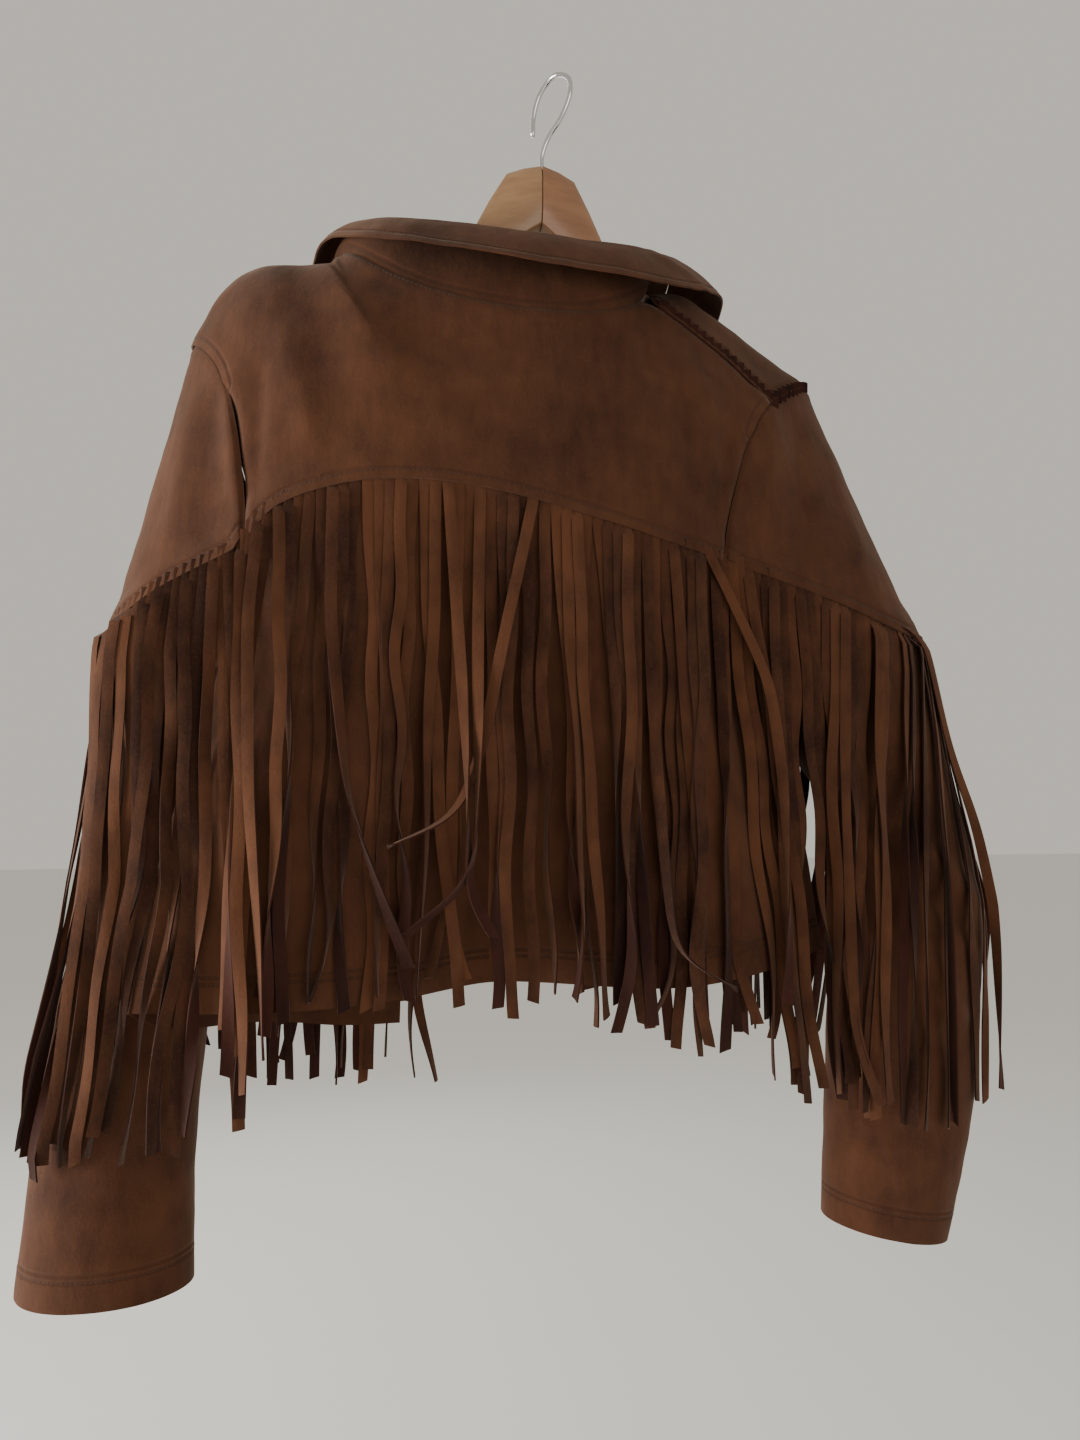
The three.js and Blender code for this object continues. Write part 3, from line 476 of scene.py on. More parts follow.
class Edge(Enum):
    """Which way an edge of the cloth looks."""

    FOOT = "foot"
    HEAD = "head"
    SIDE = "side"


@dataclass
class Run:
    """A stretch of one kind of edge: its points in order and the way into the cloth from each."""

    kind: Edge
    points: np.ndarray
    inward: np.ndarray

    def length(self) -> float:
        """The stretch's length."""
        return float(np.linalg.norm(np.diff(self.points, axis=0), axis=1).sum())

    def every(self, pitch: float, margin: float = 0.0) -> tuple[np.ndarray, np.ndarray]:
        """Evenly spaced places along the stretch.

        Args:
            pitch: distance from one to the next, adjusted to fit.
            margin: distance kept free at both ends.

        Returns:
            Points and inward directions.
        """
        steps = np.linalg.norm(np.diff(self.points, axis=0), axis=1)
        run = np.concatenate([[0.0], np.cumsum(steps)])
        free = run[-1] - 2 * margin
        count = max(int(round(free / pitch)), 1)
        at = margin + free * np.arange(count + 1) / count
        points = np.stack([np.interp(at, run, self.points[:, k]) for k in range(3)], axis=1)
        inward = np.stack([np.interp(at, run, self.inward[:, k]) for k in range(3)], axis=1)
        return points, inward / np.linalg.norm(inward, axis=1)[:, None]


def edge_runs(mesh: bmesh.types.BMesh) -> list[Run]:
    """Finds the stretches of edge of an open shell.

    Args:
        mesh: the shell, in metres.

    Returns:
        The stretches, longest first, in millimetres.
    """
    kinds, inwards, links = {}, {}, {}
    for edge in mesh.edges:
        if not edge.is_boundary:
            continue
        a, b = (v.co for v in edge.verts)
        out = (a + b) / 2 - edge.link_faces[0].calc_center_median()
        along = (b - a).normalized()
        out = (out - along * out.dot(along)).normalized()
        kind = Edge.FOOT if out.z < -LEVEL else Edge.HEAD if out.z > LEVEL else Edge.SIDE
        kinds[edge] = kind
        inwards[edge] = -out
        for v in edge.verts:
            links.setdefault((v, kind), []).append(edge)
    runs, used = [], set()
    starts = [key for key, edges in links.items() if len(edges) == 1] + list(links)
    for vertex, kind in starts:
        edge = next((e for e in links[(vertex, kind)] if e not in used), None)
        if edge is None:
            continue
        points, inward = [vertex.co.copy()], [inwards[edge]]
        while edge is not None:
            used.add(edge)
            vertex = edge.other_vert(vertex)
            points.append(vertex.co.copy())
            inward.append(inwards[edge])
            edge = next((e for e in links[(vertex, kind)] if e not in used), None)
        runs.append(Run(kind, np.array(points) / MM, np.array(inward)))
    return sorted(runs, key=lambda r: -r.length())


def distances(points: np.ndarray, runs: list[Run]) -> np.ndarray:
    """Distance from each point to the nearest of some stretches of edge.

    Args:
        points: rows of x, y, z in millimetres.
        runs: the stretches.

    Returns:
        One distance for each point, cut off at the farthest.
    """
    places = [row for run in runs for row in run.every(0.8)[0]]
    if not places:
        return np.full(len(points), FARTHEST)
    tree = KDTree(len(places))
    for index, row in enumerate(places):
        tree.insert(row, index)
    tree.balance()
    return np.minimum([tree.find(p)[2] for p in points], FARTHEST)


# ---------------------------------------------------------------- cloth
WALL = 1.6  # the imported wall's thickness, which every face of its rim has as an edge
WALL_MATCH = 0.02


def packed(node: str) -> bmesh.types.BMesh:
    """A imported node's mesh in metres, with its doubles merged."""
    mesh = bmesh.new()
    mesh.from_mesh(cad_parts[node].data)
    bmesh.ops.remove_doubles(mesh, verts=mesh.verts, dist=0.01 * MM)
    return mesh


def at_height(middle: tuple[Place, ...], height: float) -> list[float]:
    """The place on a hollow's middle line at a height."""
    upwards = np.array(middle, float)[::-1]
    return [np.interp(height, upwards[:, 2], upwards[:, k]) for k in range(2)] + [height]


def outer_side(node: str, middle: tuple[Place, ...]) -> bmesh.types.BMesh:
    """The outward side of a packed wall, as an open mesh.

    Args:
        node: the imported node.
        middle: points down the inside of the hollow that the wall is round, top first.

    Returns:
        The mesh, in metres.
    """
    mesh = packed(node)
    rim = [f for f in mesh.faces if any(abs(e.calc_length() / MM - WALL) < WALL_MATCH for e in f.edges)]
    bmesh.ops.delete(mesh, geom=rim, context="FACES")
    left, sides = set(mesh.faces), []
    while left:
        side, open_faces = [], [left.pop()]
        while open_faces:
            face = open_faces.pop()
            side.append(face)
            for edge in face.edges:
                for other in edge.link_faces:
                    if other in left:
                        left.remove(other)
                        open_faces.append(other)
        sides.append(side)

    def outwards(side: list[bmesh.types.BMFace]) -> float:
        """How much of a side looks away from the hollow."""
        total = 0.0
        for face in side:
            centre = face.calc_center_median() / MM
            inside = Vector(at_height(middle, centre.z))
            total += face.calc_area() * face.normal.dot((centre - inside).normalized())
        return total

    kept = set(max(sides, key=outwards))
    bmesh.ops.delete(mesh, geom=[f for f in mesh.faces if f not in kept], context="FACES")
    bmesh.ops.join_triangles(mesh, faces=mesh.faces, angle_face_threshold=1.2, angle_shape_threshold=1.4)
    return mesh


def rounded(mesh: bmesh.types.BMesh, levels: int) -> bmesh.types.BMesh:
    """The mesh after smooth subdivision.

    Args:
        mesh: the coarse mesh, which is freed.
        levels: how often each face is cut.

    Returns:
        The fine mesh.
    """
    data = bpy.data.meshes.new("coarse")
    mesh.to_mesh(data)
    mesh.free()
    holder = bpy.data.objects.new("coarse", data)
    bpy.context.scene.collection.objects.link(holder)
    cut = holder.modifiers.new("cut", "SUBSURF")
    cut.levels = cut.render_levels = levels
    cut.boundary_smooth = "PRESERVE_CORNERS"
    fine = bmesh.new()
    fine.from_object(holder, bpy.context.evaluated_depsgraph_get())
    bpy.data.objects.remove(holder)
    bpy.data.meshes.remove(data)
    return fine


def finished(name: str, mesh: bmesh.types.BMesh, finishes: list, slot: str, *nodes: str) -> bpy.types.Object:
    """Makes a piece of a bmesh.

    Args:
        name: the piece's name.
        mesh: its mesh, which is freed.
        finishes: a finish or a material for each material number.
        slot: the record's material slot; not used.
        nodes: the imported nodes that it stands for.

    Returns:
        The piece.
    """
    data = bpy.data.meshes.new(name)
    mesh.to_mesh(data)
    mesh.free()
    data.shade_smooth()
    data.set_sharp_from_angle(angle=CRISP)
    for finish in finishes:
        data.materials.append(material_of(finish))
    piece = bpy.data.objects.new(name, data)
    bpy.context.scene.collection.objects.link(piece)
    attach(piece, BODY)
    if nodes:
        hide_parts(*nodes)
    log.info("%s: %d faces", name, len(data.polygons))
    return piece


def backed(mesh: bmesh.types.BMesh, thickness: float, rim_number: int) -> None:
    """Gives an open sheet its wall, with the hide's reverse on the inside.

    Args:
        mesh: the open sheet, facing out.
        thickness: the wall in millimetres.
        rim_number: the material number of the cut edges; the reverse has 1.
    """
    mesh.normal_update()
    faces = list(mesh.faces)
    rims = [edge for edge in mesh.edges if edge.is_boundary]
    inner = {vertex: vertex.co - vertex.normal * thickness * MM for vertex in mesh.verts}
    copy = bmesh.ops.duplicate(mesh, geom=faces + list(mesh.edges) + list(mesh.verts))
    twin = copy["vert_map"]
    for vertex, place in inner.items():
        twin[vertex].co = place
    for face in [part for part in copy["geom"] if isinstance(part, bmesh.types.BMFace)]:
        face.normal_flip()
        face.material_index = 1
    for edge in rims:
        loop = edge.link_loops[0]
        first, second = loop.vert, loop.link_loop_next.vert
        rim = mesh.faces.new((second, first, twin[first], twin[second]))
        rim.material_index = rim_number
        rim.smooth = True


CRISP = math.radians(48)  # edges sharper than this stay crisp
_materials: dict[str, bpy.types.Material] = {}


def material_of(finish: "SuedeFinish | WoodFinish | PlainFinish") -> bpy.types.Material:
    """The material of a finish, made once."""
    if finish.name not in _materials:
        _materials[finish.name] = finish.material()
    return _materials[finish.name]


TORSO_MIDDLE = ((-45, 30, -100), (-40, 20, -640))
LEFT_MIDDLE = ((-238, 32, -190), (-262, 44, -420), (-262, 48, -560), (-284, 34, -720), (-287, 12, -830))
RIGHT_MIDDLE = ((178, 30, -190), (208, 20, -400), (262, 22, -560), (256, 12, -730), (238, 4, -830))


PUCKERS = ((0.9, 34), (0.35, 13))  # push and width of the cloth's small waves


@dataclass
class ClothPanel:
    """One cut piece of suede, as a thin shell on its packed wall."""

    node: str
    flat: tuple[float, float]
    area: float | None = None
    middle: tuple[Place, ...] = TORSO_MIDDLE
    finish: SuedeFinish = SUEDE
    levels: int = 3
    foot_lift: float = 0.0
    foot_overhang: float = 0.0
    thickness: float = 1.3
    runs: list[Run] = field(default_factory=list)
    tree: BVHTree | None = None

    def build(self) -> bpy.types.Object:
        """Shapes the shell, thickens it and dresses it.

        Returns:
            The piece.
        """
        mesh = rounded(outer_side(self.node, self.middle), self.levels)
        self.runs = edge_runs(mesh)
        self._fold(mesh)
        self.runs = edge_runs(mesh)
        self.tree = BVHTree.FromBMesh(mesh)
        backed(mesh, self.thickness, 0)
        piece = finished(self.node, mesh, [self.finish, INSIDE], "jacket_suede", self.node)
        return piece

    def of(self, *kinds: Edge) -> list[Run]:
        """The stretches of these kinds."""
        return [run for run in self.runs if run.kind in kinds]

    def _fold(self, mesh: bmesh.types.BMesh) -> None:
        """Presses the folds in and lifts the foot off what lies below it.

        Args:
            mesh: the open shell.
        """
        mesh.normal_update()
        places = np.array([v.co for v in mesh.verts]) / MM
        normals = np.array([v.normal for v in mesh.verts])
        foot = distances(places, self.of(Edge.FOOT))
        seam = distances(places, self.of(Edge.HEAD, Edge.SIDE))
        away = np.zeros(len(places))
        for crease in CREASES:
            if self.node in crease.nodes:
                away += crease.lift(places, normals)
        # the cloth puckers a little everywhere, and dips into its seams
        away += [sum(push * noise.noise(Vector(p) / wide) for push, wide in PUCKERS) for p in places]
        away -= 0.9 * np.exp(-((seam / 2.6) ** 2))
        away += 0.7 * np.exp(-(((seam - 6.0) / 4.0) ** 2))
        ease = np.clip(1 - foot / 22.0, 0, 1)
        away += self.foot_lift * ease * ease * (3 - 2 * ease)
        moved = places + normals * away[:, None]
        if self.foot_overhang:
            slip = np.clip(1 - foot / 8.0, 0, 1) * self.foot_overhang
            moved[:, 2] -= slip
        foot_layer = mesh.verts.layers.float.new("foot_mm")
        seam_layer = mesh.verts.layers.float.new("seam_mm")
        for vertex, place, low, side in zip(mesh.verts, moved, foot, seam):
            vertex.co = Vector(place) * MM
            vertex[foot_layer] = low
            vertex[seam_layer] = side
        mesh.normal_update()


PANELS = (
    ClothPanel("back_yoke", (340, 200), 0.056, foot_lift=2.6, foot_overhang=2.5),
    ClothPanel("front_yoke_left", (150, 190), foot_lift=2.4, foot_overhang=2.5),
    ClothPanel("front_yoke_right", (190, 210), foot_lift=2.4, foot_overhang=2.5),
    ClothPanel("back_panel", (400, 320), 0.12, finish=HEMMED),
    ClothPanel("front_left", (190, 320), finish=HEMMED),
    ClothPanel("front_right", (210, 320), finish=HEMMED),
    ClothPanel("collar_stand", (520, 35), foot_overhang=4.5),
    ClothPanel("collar_fall", (560, 60)),
    ClothPanel("sleeve_left", (320, 460), middle=LEFT_MIDDLE, finish=HEMMED),
    ClothPanel("sleeve_cap_left", (290, 160), 0.031, middle=LEFT_MIDDLE, foot_lift=2.6, foot_overhang=2.5),
    ClothPanel("sleeve_right", (320, 460), middle=RIGHT_MIDDLE, finish=HEMMED),
    ClothPanel("sleeve_cap_right", (350, 170), 0.038, middle=RIGHT_MIDDLE, foot_lift=2.6, foot_overhang=2.5),
)


# ---------------------------------------------------------------- fringe
FAR = 110.0  # from how far out the cloth is felt for
STAND_OFF = 7.0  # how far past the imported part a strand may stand, back and front
MOST_PUSH = 75.0  # the most that cloth below pushes a strand out past its root
ROOT_DEPTH = -0.95  # how far under the outer face of the edge above it a strand is sewn
INWARD_SHARE = 0.15  # how much of a lean towards the body a sleeve's strand keeps

LEAST_FALL = 0.09  # the least that a strand falls in a step, as a share of the step squared
NOT_FELT = -1e3  # stands for no cloth below
EDGE_REACH = 0.9  # the share of a strand's half width at which its edges feel the cloth
CLEARANCE = 0.75  # from a strand's back to what it hangs on
LOWEST = 0.9  # the least that a strand stands out before it has settled
SETTLING = 140  # rounds of easing a strand between the places that hold it off
CUPPING = 0.45  # how far a strand's middle stands proud of its edges
SLANT = 3.2  # how uneven a strand's cut end can be


def ripple(
    rng: np.random.Generator,
    s: np.ndarray,
    sizes: tuple[float, float],
    beats: tuple[float, float],
    rise: float,
) -> np.ndarray:
    """A random wave down a strand.

    Args:
        rng: the row's own chance.
        s: the samples' shares of the strand.
        sizes: the least and most size.
        beats: the least and most waves in the strand.
        rise: how fast it grows from the root.

    Returns:
        The wave at each sample.
    """
    size = rng.uniform(*sizes)
    beat = rng.uniform(*beats)
    phase = rng.random()
    return size * np.sin(2 * math.pi * (s * beat + phase)) * np.clip(s * rise, 0, 1)


@dataclass(frozen=True)
class Wayward:
    """A strand whose way is given: its root across the row and its (across, up) places."""

    root: float
    line: tuple[tuple[float, float], ...]
    lift: float = 1.5
    turns: float = 1.0


@dataclass
class FringeRow:
    """One row of cut strands under an edge: how it hangs, and the strands that stray."""

    node: str
    source: ClothPanel
    outward: Facing | None
    middle: tuple[Place, ...]
    seed: int
    length: float = 345.0
    spread: float = 8.0
    follow: float = 0.0
    follow_from: tuple[float, float] = (0.0, 1.0)
    gather: tuple[float, float] = (0.0, 0.0)
    slip: float = 0.0
    stray: tuple[Wayward, ...] = ()
    pitch: float = 6.9
    width: float = 7.3
    thickness: float = 1.0
    tuck: float = 5.0
    samples: int = 54

    def build(self, obstacles: BVHTree) -> bpy.types.Object:
        """Hangs every strand and joins them.

        Args:
            obstacles: the cloth that they hang against.

        Returns:
            The piece.
        """
        rng = np.random.default_rng(self.seed)
        foot = max(self.source.of(Edge.FOOT), key=Run.length)
        roots, inward = foot.every(self.pitch, 2.5)
        plans = self._plans(rng, roots)
        order = sorted(range(len(roots)), key=lambda k: (plans[k][3], rng.random()))
        mesh = bmesh.new()
        cast = mesh.verts.layers.float.new("strand_cast")
        laid: BVHTree | None = None
        for k in order:
            across, fall, turn, _, lift = plans[k]
            out = self._out(roots[k])
            start = roots[k] + inward[k] * self.tuck
            trees = [tree for tree in (obstacles, laid) if tree]
            path, aside = self._hang(start, out, across, fall, turn, lift, trees)
            self._ribbon(mesh, cast, path, out, aside, turn, rng.uniform(-1, 1))
            laid = BVHTree.FromBMesh(mesh)
        backed(mesh, self.thickness, 1)
        piece = finished(self.node, mesh, [STRAND, REVERSE], "fringe_suede", self.node)
        wide = foot.length() * MM
        return piece

    def _out(self, root: np.ndarray) -> np.ndarray:
        """The level direction in which the cloth looks at a root."""
        if self.outward is not None:
            return np.array(self.outward.value)
        away = root - at_height(self.middle, root[2])
        if away[0] * self.middle[-1][0] < 0:
            away[0] *= INWARD_SHARE
        return away / np.linalg.norm(away)

    def _plans(self, rng: np.random.Generator, roots: np.ndarray) -> list[tuple]:
        """Works out each strand's sway, fall, twist, order and lift.

        Args:
            rng: the row's own chance.
            roots: where the strands start.

        Returns:
            A tuple for each strand.
        """
        count, n = len(roots), self.samples
        s = np.arange(n) / (n - 1)
        clumps, k = np.zeros(count), 0
        while k < count:
            size = int(rng.integers(2, 6))
            middle = k + (size - 1) / 2
            for j in range(k, min(k + size, count)):
                clumps[j] = (middle - j) * self.pitch
            k += size
        common = np.interp(np.arange(count), np.linspace(0, count - 1, 7), rng.normal(0, 1, 7))
        middle = np.array(self.middle, float)[::-1]
        plans = []
        for j in range(count):
            pull = rng.uniform(0.1, 0.8)
            late = s ** rng.uniform(1.2, 2.2)
            swing = common[j] * 0.8 * self.spread + rng.normal(0, 0.75) * self.spread
            waves = ripple(rng, s, (0.6, 2.6), (1.5, 3.6), 3)
            across = clumps[j] * pull * np.clip(s * 2.2, 0, 1) + swing * late + waves - waves[0]
            if rng.random() < 0.22:
                hook = rng.choice([-1, 1]) * rng.uniform(4, 14)
                across = across + hook * np.clip((s - 0.82) / 0.18, 0, 1) ** 1.6
            out = self._out(roots[j])
            aside = np.array([-out[1], out[0], 0.0])
            length = self.length * rng.uniform(0.955, 1.02)
            if self.follow:
                drop = roots[j][2] - s * length
                shift = np.stack([np.interp(drop, middle[:, 2], middle[:, c]) for c in range(2)], axis=1)
                near, far = self.follow_from
                share = np.clip((roots[j][0] - near) / (far - near), 0, 1)
                across = across + (shift - shift[0]) @ aside[:2] * self.follow * share
            if self.gather[1]:
                across = across + (self.gather[0] - roots[j][0]) * aside[0] * self.gather[1] * s**1.15
                across = across + self.slip * np.clip(abs(out[0]) * 2.5 - 1.4, 0, 1) * s
            step = length / (n - 1)
            falls = np.sqrt(np.maximum(step**2 - np.diff(across) ** 2, LEAST_FALL * step**2))
            fall = np.concatenate([[0.0], np.cumsum(falls)])
            ends = rng.choice([0.0, 0.25, 0.5, 1.0, 1.5], p=[0.34, 0.2, 0.16, 0.2, 0.1]) * rng.choice([-1, 1])
            begin = rng.uniform(0.08, 0.6)
            ease = np.clip((s - begin) / (1 - begin), 0, 1)
            turn = ends * math.pi * ease * ease * (3 - 2 * ease)
            turn = turn + ripple(rng, s, (0.05, 0.4), (1, 2.5), 4)
            plans.append((across, fall, turn, rng.integers(0, 3), 0.0))
        for way in self.stray:
            j = int(np.argmin(abs(roots[:, 0] - way.root)))
            plans[j] = self._stray(way, roots[j])
        return plans

    def _stray(self, way: Wayward, root: np.ndarray) -> tuple:
        """The plan of a strand whose way is given.

        Args:
            way: its way.
            root: where it starts.

        Returns:
            Its plan, as the others'.
        """
        line = np.array(((root[0], root[2]), *way.line), float)
        run = np.concatenate([[0.0], np.cumsum(np.linalg.norm(np.diff(line, axis=0), axis=1))])
        n = self.samples
        at = np.linspace(0, run[-1], n)
        spots = np.stack([np.interp(at, run, line[:, c]) for c in range(2)], axis=1)
        for _ in range(10):
            spots[1:-1] = (spots[:-2] + 2 * spots[1:-1] + spots[2:]) / 4
        aside = -self._out(root)[1]
        s = np.arange(n) / (n - 1)
        turn = way.turns * math.pi * np.clip((s - 0.25) / 0.75, 0, 1) ** 1.4
        return (spots[:, 0] - root[0]) * aside, root[2] - spots[:, 1], turn, 9, way.lift

    def _hang(
        self,
        start: np.ndarray,
        out: np.ndarray,
        across: np.ndarray,
        fall: np.ndarray,
        turn: np.ndarray,
        lift: float,
        trees: list[BVHTree],
    ) -> tuple[np.ndarray, np.ndarray]:
        """Lets one strand hang against the cloth and the strands below it.

        Args:
            start: its root.
            out: the level direction away from the cloth.
            across: its sway at each sample.
            fall: how far it has fallen at each sample.
            turn: its twist at each sample.
            lift: how much further off the cloth it stays.
            trees: what it hangs against.

        Returns:
            Its middle line, and the level direction along the row.
        """
        aside = np.array([-out[1], out[0], 0.0])
        base = start + across[:, None] * aside
        base[:, 2] -= fall
        half = self.width / 2
        rest = np.full(len(fall), NOT_FELT)
        for k in range(2, len(fall)):
            for side in (-EDGE_REACH * half, 0.0, EDGE_REACH * half):
                origin = base[k] + aside * side * abs(math.cos(turn[k])) + out * FAR
                for tree in trees:
                    spot = tree.ray_cast(Vector(origin) * MM, Vector(-out), 2 * FAR * MM)[0]
                    if spot is not None:
                        rest[k] = max(rest[k], (np.array(spot) / MM - base[k]) @ out)
        stand = CLEARANCE + self.thickness / 2 + abs(np.sin(turn)) * half * 0.8
        stand = stand + lift * np.clip(fall / 60, 0, 1)
        rest = np.minimum(rest, MOST_PUSH) + stand
        rest[:2] = ROOT_DEPTH
        height = np.maximum.accumulate(np.maximum(rest, -60.0))
        height = np.maximum(height, LOWEST)
        for _ in range(SETTLING):
            level = np.empty_like(height)
            level[1:-1] = (height[:-2] + height[2:]) / 2
            level[0], level[-1] = ROOT_DEPTH, height[-2]
            height = np.maximum(level, rest)
            height[:2] = ROOT_DEPTH
        path = base + height[:, None] * out
        path[:, 1] = np.clip(path[:, 1], CAD_BOX[0][1] / MM - STAND_OFF, CAD_BOX[1][1] / MM + STAND_OFF)
        return path, aside

    def _ribbon(
        self,
        mesh: bmesh.types.BMesh,
        cast: bmesh.types.BMLayerItem,
        path: np.ndarray,
        out: np.ndarray,
        aside: np.ndarray,
        turn: np.ndarray,
        tint: float,
    ) -> None:
        """Adds one strand, two faces wide, along its middle line.

        Args:
            mesh: the row's mesh.
            cast: the layer of the strands' own shades.
            path: the middle line.
            out: the direction away from the cloth.
            aside: the level direction along the row.
            turn: the twist at each sample.
            tint: the strand's own shade, from -1 to 1.
        """
        n = len(path)
        made = bmesh.ops.create_grid(mesh, x_segments=2, y_segments=n - 1, size=1.0)["verts"]
        rows = sorted(made, key=lambda v: -v.co.y)
        slant = tint * SLANT
        for k in range(n):
            row = sorted(rows[3 * k : 3 * k + 3], key=lambda v: v.co.x)
            flat = aside * math.cos(turn[k]) + out * math.sin(turn[k])
            proud = out * math.cos(turn[k]) - aside * math.sin(turn[k])
            for vertex, side in zip(row, (-0.5, 0.0, 0.5)):
                place = path[k] + flat * side * self.width + proud * (CUPPING if side == 0.0 else 0.0)
                if k == n - 1:
                    place[2] += slant * side
                vertex.co = Vector(place) * MM
                vertex[cast] = tint


BACK_STRAYS = (
    Wayward(-28, ((-41, -381), (-49, -417), (-60, -475), (-73, -511), (-83, -522), (-117, -536)), 7.0, 0.5),
    Wayward(-62, ((-63, -430), (-65, -550), (-77, -566), (-107, -589)), 4.0, 1.0),
    Wayward(-150, ((-149, -400), (-138, -505), (-119, -562), (-102, -607)), 4.0, -1.0),
    Wayward(-78, ((-72, -440), (-68, -567), (-53, -591)), 3.0, 1.0),
    Wayward(46, ((48, -430), (52, -537), (56, -604), (96, -627)), 5.0, 0.6),
    Wayward(94, ((111, -385), (132, -434), (138, -494), (139, -572), (136, -640)), 4.0, 1.0),
    Wayward(-190, ((-196, -400), (-193, -500), (-186, -580), (-182, -655)), 2.0, 0.5),
)

RIGHT_STRAYS = (
    Wayward(236, ((262, -391), (284, -480), (311, -531), (326, -613), (329, -719)), 2.0, 1.0),
    Wayward(228, ((258, -420), (280, -490), (305, -545), (320, -640), (320, -706)), 2.0, -1.0),
    Wayward(215, ((236, -420), (262, -500), (284, -590), (287, -664), (267, -705)), 2.5, 1.0),
)


def hanging_rows(panels: dict[str, ClothPanel]) -> list[FringeRow]:
    """The rows of fringe, in the order in which they hang over each other.

    Args:
        panels: the built panels by node.

    Returns:
        The rows.
    """
    back, yoke_left, yoke_right = panels["back_yoke"], panels["front_yoke_left"], panels["front_yoke_right"]
    cap_left, cap_right = panels["sleeve_cap_left"], panels["sleeve_cap_right"]
    left = {"follow": 1.0, "follow_from": (-208.0, -240.0), "pitch": 6.6}
    right = {"gather": (170.0, 0.5), "slip": 34.0, "stray": RIGHT_STRAYS, "pitch": 6.8}
    return [
        FringeRow("fringe_front_left", yoke_left, Facing.FRONT, TORSO_MIDDLE, 11, 372, 9),
        FringeRow("fringe_front_right", yoke_right, Facing.FRONT, TORSO_MIDDLE, 12, 372, 9),
        FringeRow("fringe_sleeve_left", cap_left, None, LEFT_MIDDLE, 13, 350, 7, **left),
        FringeRow("fringe_sleeve_right", cap_right, None, RIGHT_MIDDLE, 14, 345, 8, **right),
        FringeRow("fringe_back", back, Facing.BACK, TORSO_MIDDLE, 15, 322, 8, stray=BACK_STRAYS),
    ]


# ---------------------------------------------------------------- stitches
@dataclass
class Stitching:
    """Rows of thread through a panel, at set distances from some of its edges."""

    name: str
    panel: ClothPanel
    kind: Edge
    insets: tuple[float, ...]
    shortest: float
    pitch: float = 3.1
    stitch: float = 2.3
    thread: float = 0.55
    rise: float = 0.05

    def build(self) -> bpy.types.Object:
        """Lays the stitches on the panel.

        Returns:
            The piece.
        """
        mesh = bmesh.new()
        for run in self.panel.of(self.kind):
            if run.length() < self.shortest:
                continue
            points, inward = run.every(self.pitch)
            for inset in self.insets:
                self._row(mesh, points + inward * inset)
        return finished(self.name, mesh, [THREAD], "jacket_suede")

    def _row(self, mesh: bmesh.types.BMesh, line: np.ndarray) -> None:
        """Lays one row.

        Args:
            mesh: the stitches so far.
            line: places near the panel, one for each stitch.
        """
        spots = [self.panel.tree.find_nearest(Vector(place) * MM) for place in line]
        for (here, out, _, _), (there, _, _, _) in zip(spots[:-1], spots[1:]):
            along = there - here
            if along.length < 0.5 * self.pitch * MM or along.length > 2 * self.pitch * MM:
                continue
            along.normalize()
            side = out.cross(along).normalized()
            turn = Matrix((along, side, along.cross(side))).transposed().to_4x4()
            size = Matrix.Diagonal((self.stitch / 2 * MM, self.thread / 2 * MM, self.thread / 2 * MM, 1.0))
            where = Matrix.Translation((here + there) / 2 + out * self.rise * MM)
            placed = where @ turn @ size
            bmesh.ops.create_uvsphere(mesh, u_segments=6, v_segments=4, radius=1.0, matrix=placed)


def thread_rows(panels: dict[str, ClothPanel]) -> list[Stitching]:
    """The rows of thread.

    Args:
        panels: the built panels by node.

    Returns:
        The rows.
    """
    rows = (
        ("back_yoke", "back_yoke", Edge.FOOT, (5.6,), 40.0),
        ("neck", "back_yoke", Edge.HEAD, (3.0,), 40.0),
        ("front_yoke_left", "front_yoke_left", Edge.FOOT, (5.6,), 40.0),
        ("front_yoke_right", "front_yoke_right", Edge.FOOT, (5.6,), 40.0),
        ("cap_left", "sleeve_cap_left", Edge.FOOT, (5.6,), 40.0),
        ("cap_right", "sleeve_cap_right", Edge.FOOT, (5.6,), 40.0),
        ("collar", "collar_fall", Edge.FOOT, (5.6,), 40.0),
        ("hem_back", "back_panel", Edge.FOOT, (17.0, 21.0), 100.0),
        ("hem_left", "front_left", Edge.FOOT, (17.0, 21.0), 100.0),
        ("hem_right", "front_right", Edge.FOOT, (17.0, 21.0), 100.0),
        ("front_left", "front_left", Edge.SIDE, (6.0,), 250.0),
        ("front_right", "front_right", Edge.SIDE, (6.0,), 250.0),
        ("cuff_left", "sleeve_left", Edge.FOOT, (17.0,), 150.0),
        ("cuff_right", "sleeve_right", Edge.FOOT, (17.0,), 150.0),
    )
    return [
        Stitching("stitches_" + name, panels[node], kind, insets, shortest)
        for name, node, kind, insets, shortest in rows
    ]


# ---------------------------------------------------------------- hanger
@dataclass(frozen=True)
class HangerArm:
    """One wooden arm of the hanger, its edges eased."""

    node: str
    finish: WoodFinish
    ease: float = 1.6

    def build(self) -> bpy.types.Object:
        """Shapes and dresses the arm.

        Returns:
            The piece.
        """
        mesh = packed(self.node)
        bmesh.ops.join_triangles(mesh, faces=mesh.faces, angle_face_threshold=0.5, angle_shape_threshold=1.4)
        sharp = [e for e in mesh.edges if e.is_manifold and e.calc_face_angle() > math.radians(38)]
        bmesh.ops.bevel(
            mesh,
            geom=sharp,
            offset=self.ease * MM,
            affect="EDGES",
            segments=3,
            profile=0.5,
            material=-1,
            clamp_overlap=True,
        )
        return finished(self.node + "_wood", mesh, [self.finish], "hanger_wood", self.node)


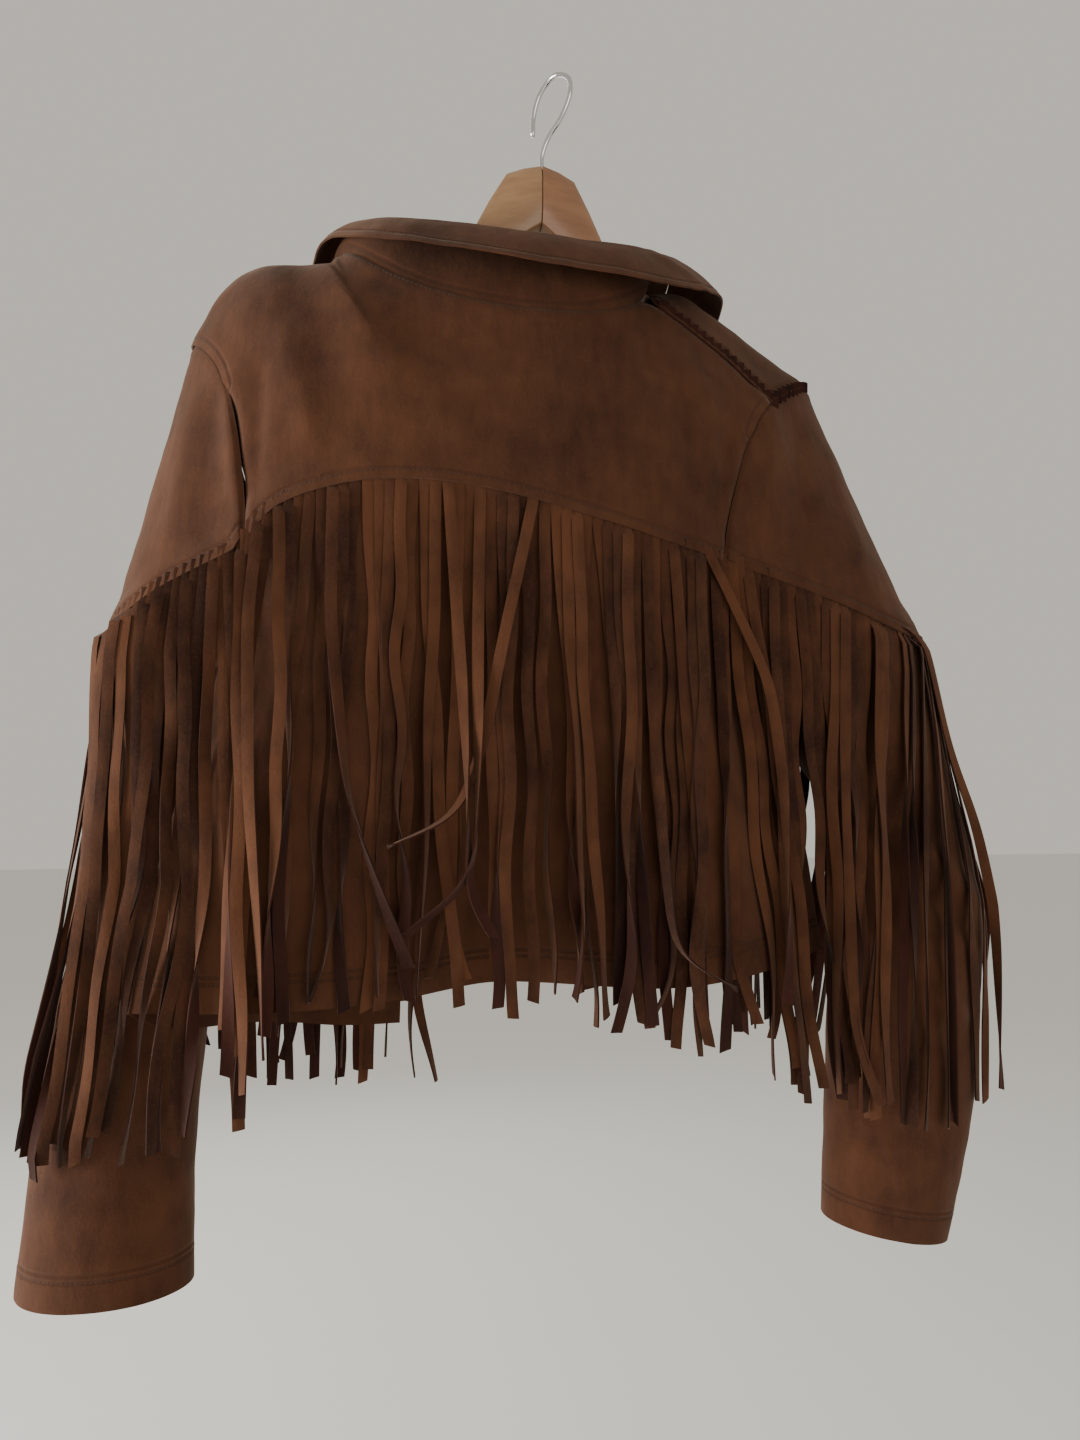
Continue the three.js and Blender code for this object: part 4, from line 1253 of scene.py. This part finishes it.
@dataclass(frozen=True)
class HangerHook:
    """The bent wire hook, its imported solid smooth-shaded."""

    node: str = "hanger_hook"

    def build(self) -> bpy.types.Object:
        """Smooth-shades and dresses the wire.

        Returns:
            The piece.
        """
        mesh = packed(self.node)
        bmesh.ops.join_triangles(mesh, faces=mesh.faces, angle_face_threshold=1.0, angle_shape_threshold=1.4)
        return finished("hook_wire", mesh, [WIRE], "hook_chrome", self.node)


# ---------------------------------------------------------------- studio
@dataclass(frozen=True)
class SoftLight:
    """A broad soft lamp that looks at the jacket."""

    name: str
    place: Place
    size: float
    power: float
    colour: Colour

    def build(self, target: Vector) -> None:
        """Hangs the lamp.

        Args:
            target: where it looks, in metres.
        """
        data = bpy.data.lights.new(self.name, "AREA")
        data.shape = "DISK"
        data.size = self.size * MM
        data.energy = self.power
        data.color = self.colour
        lamp = bpy.data.objects.new(self.name, data)
        lamp.location = Vector(self.place) * MM
        lamp.rotation_euler = (target - lamp.location).to_track_quat("-Z", "Y").to_euler()
        bpy.context.scene.collection.objects.link(lamp)


@dataclass(frozen=True)
class Studio:
    """The pale floor, the soft light and the camera behind the jacket."""

    eye: Place = (-136, -712, -487)
    yaw: float = 10.0
    pitch: float = 2.7
    lens: float = 26.5
    floor_drop: float = 520.0
    floor_size: float = 9.0
    backdrop: Colour = (0.62, 0.59, 0.525)
    lights: tuple[SoftLight, ...] = (
        SoftLight("window", (-2400, -260, -650), 1300, 105.0, (1.0, 0.97, 0.93)),
        SoftLight("room", (500, -2300, -500), 2200, 26.0, (1.0, 0.95, 0.90)),
        SoftLight("front_fill", (-300, 1800, 200), 1800, 14.0, (1.0, 0.98, 0.96)),
    )

    def build(self) -> None:
        """Sets up floor, light and camera."""
        low, high = (Vector(corner) for corner in CAD_BOX)
        middle = (low + high) / 2
        mesh = bmesh.new()
        drop = Matrix.Translation((middle.x, middle.y, low.z - self.floor_drop * MM))
        bmesh.ops.create_grid(mesh, x_segments=1, y_segments=1, size=self.floor_size, matrix=drop)
        data = bpy.data.meshes.new("floor")
        mesh.to_mesh(data)
        mesh.free()
        data.materials.append(material_of(FLOOR))
        floor = bpy.data.objects.new("floor", data)
        bpy.context.scene.collection.objects.link(floor)
        for light in self.lights:
            light.build(middle)
        world = bpy.data.worlds.new("soft_room")
        world.use_nodes = True
        shade = world.node_tree.nodes["Background"]
        shade.inputs["Color"].default_value = (*self.backdrop, 1.0)
        shade.inputs["Strength"].default_value = 1.0
        bpy.context.scene.world = world
        self._camera()

    def _camera(self) -> None:
        """Stands the camera."""
        data = bpy.data.cameras.new("camera")
        data.sensor_fit = "VERTICAL"
        data.sensor_height = 36.0
        data.lens = self.lens
        data.clip_start = 0.02
        camera = bpy.data.objects.new("camera", data)
        camera.location = Vector(self.eye) * MM
        camera.rotation_euler = (math.radians(90 + self.pitch), 0.0, math.radians(-self.yaw))
        bpy.context.scene.collection.objects.link(camera)
        bpy.context.scene.camera = camera


def cloth_tree(pieces: dict[str, bpy.types.Object], names: tuple[str, ...]) -> BVHTree:
    """What the strands hang against.

    Args:
        pieces: every piece by node.
        names: the nodes that count.

    Returns:
        Their faces as one tree.
    """
    mesh = bmesh.new()
    for name in names:
        mesh.from_mesh(pieces[name].data)
    tree = BVHTree.FromBMesh(mesh)
    mesh.free()
    return tree


def main() -> None:
    """Builds the jacket on its hanger, and the studio round it."""
    logging.basicConfig(level=logging.INFO, format="%(message)s")
    Studio().build()
    panels = {panel.node: panel for panel in PANELS}
    pieces = {name: panel.build() for name, panel in panels.items()}
    walls = ("back_panel", "front_left", "front_right", "sleeve_left", "sleeve_right")
    hung: list[str] = []
    for row in hanging_rows(panels):
        pieces[row.node] = row.build(cloth_tree(pieces, (*walls, *hung)))
        hung.append(row.node)
    for row in thread_rows(panels):
        row.build()
    for arm in (HangerArm("hanger_arm_left", WOOD_LEFT), HangerArm("hanger_arm_right", WOOD_RIGHT)):
        arm.build()
    HangerHook().build()


if __name__ == "__main__":
    main()
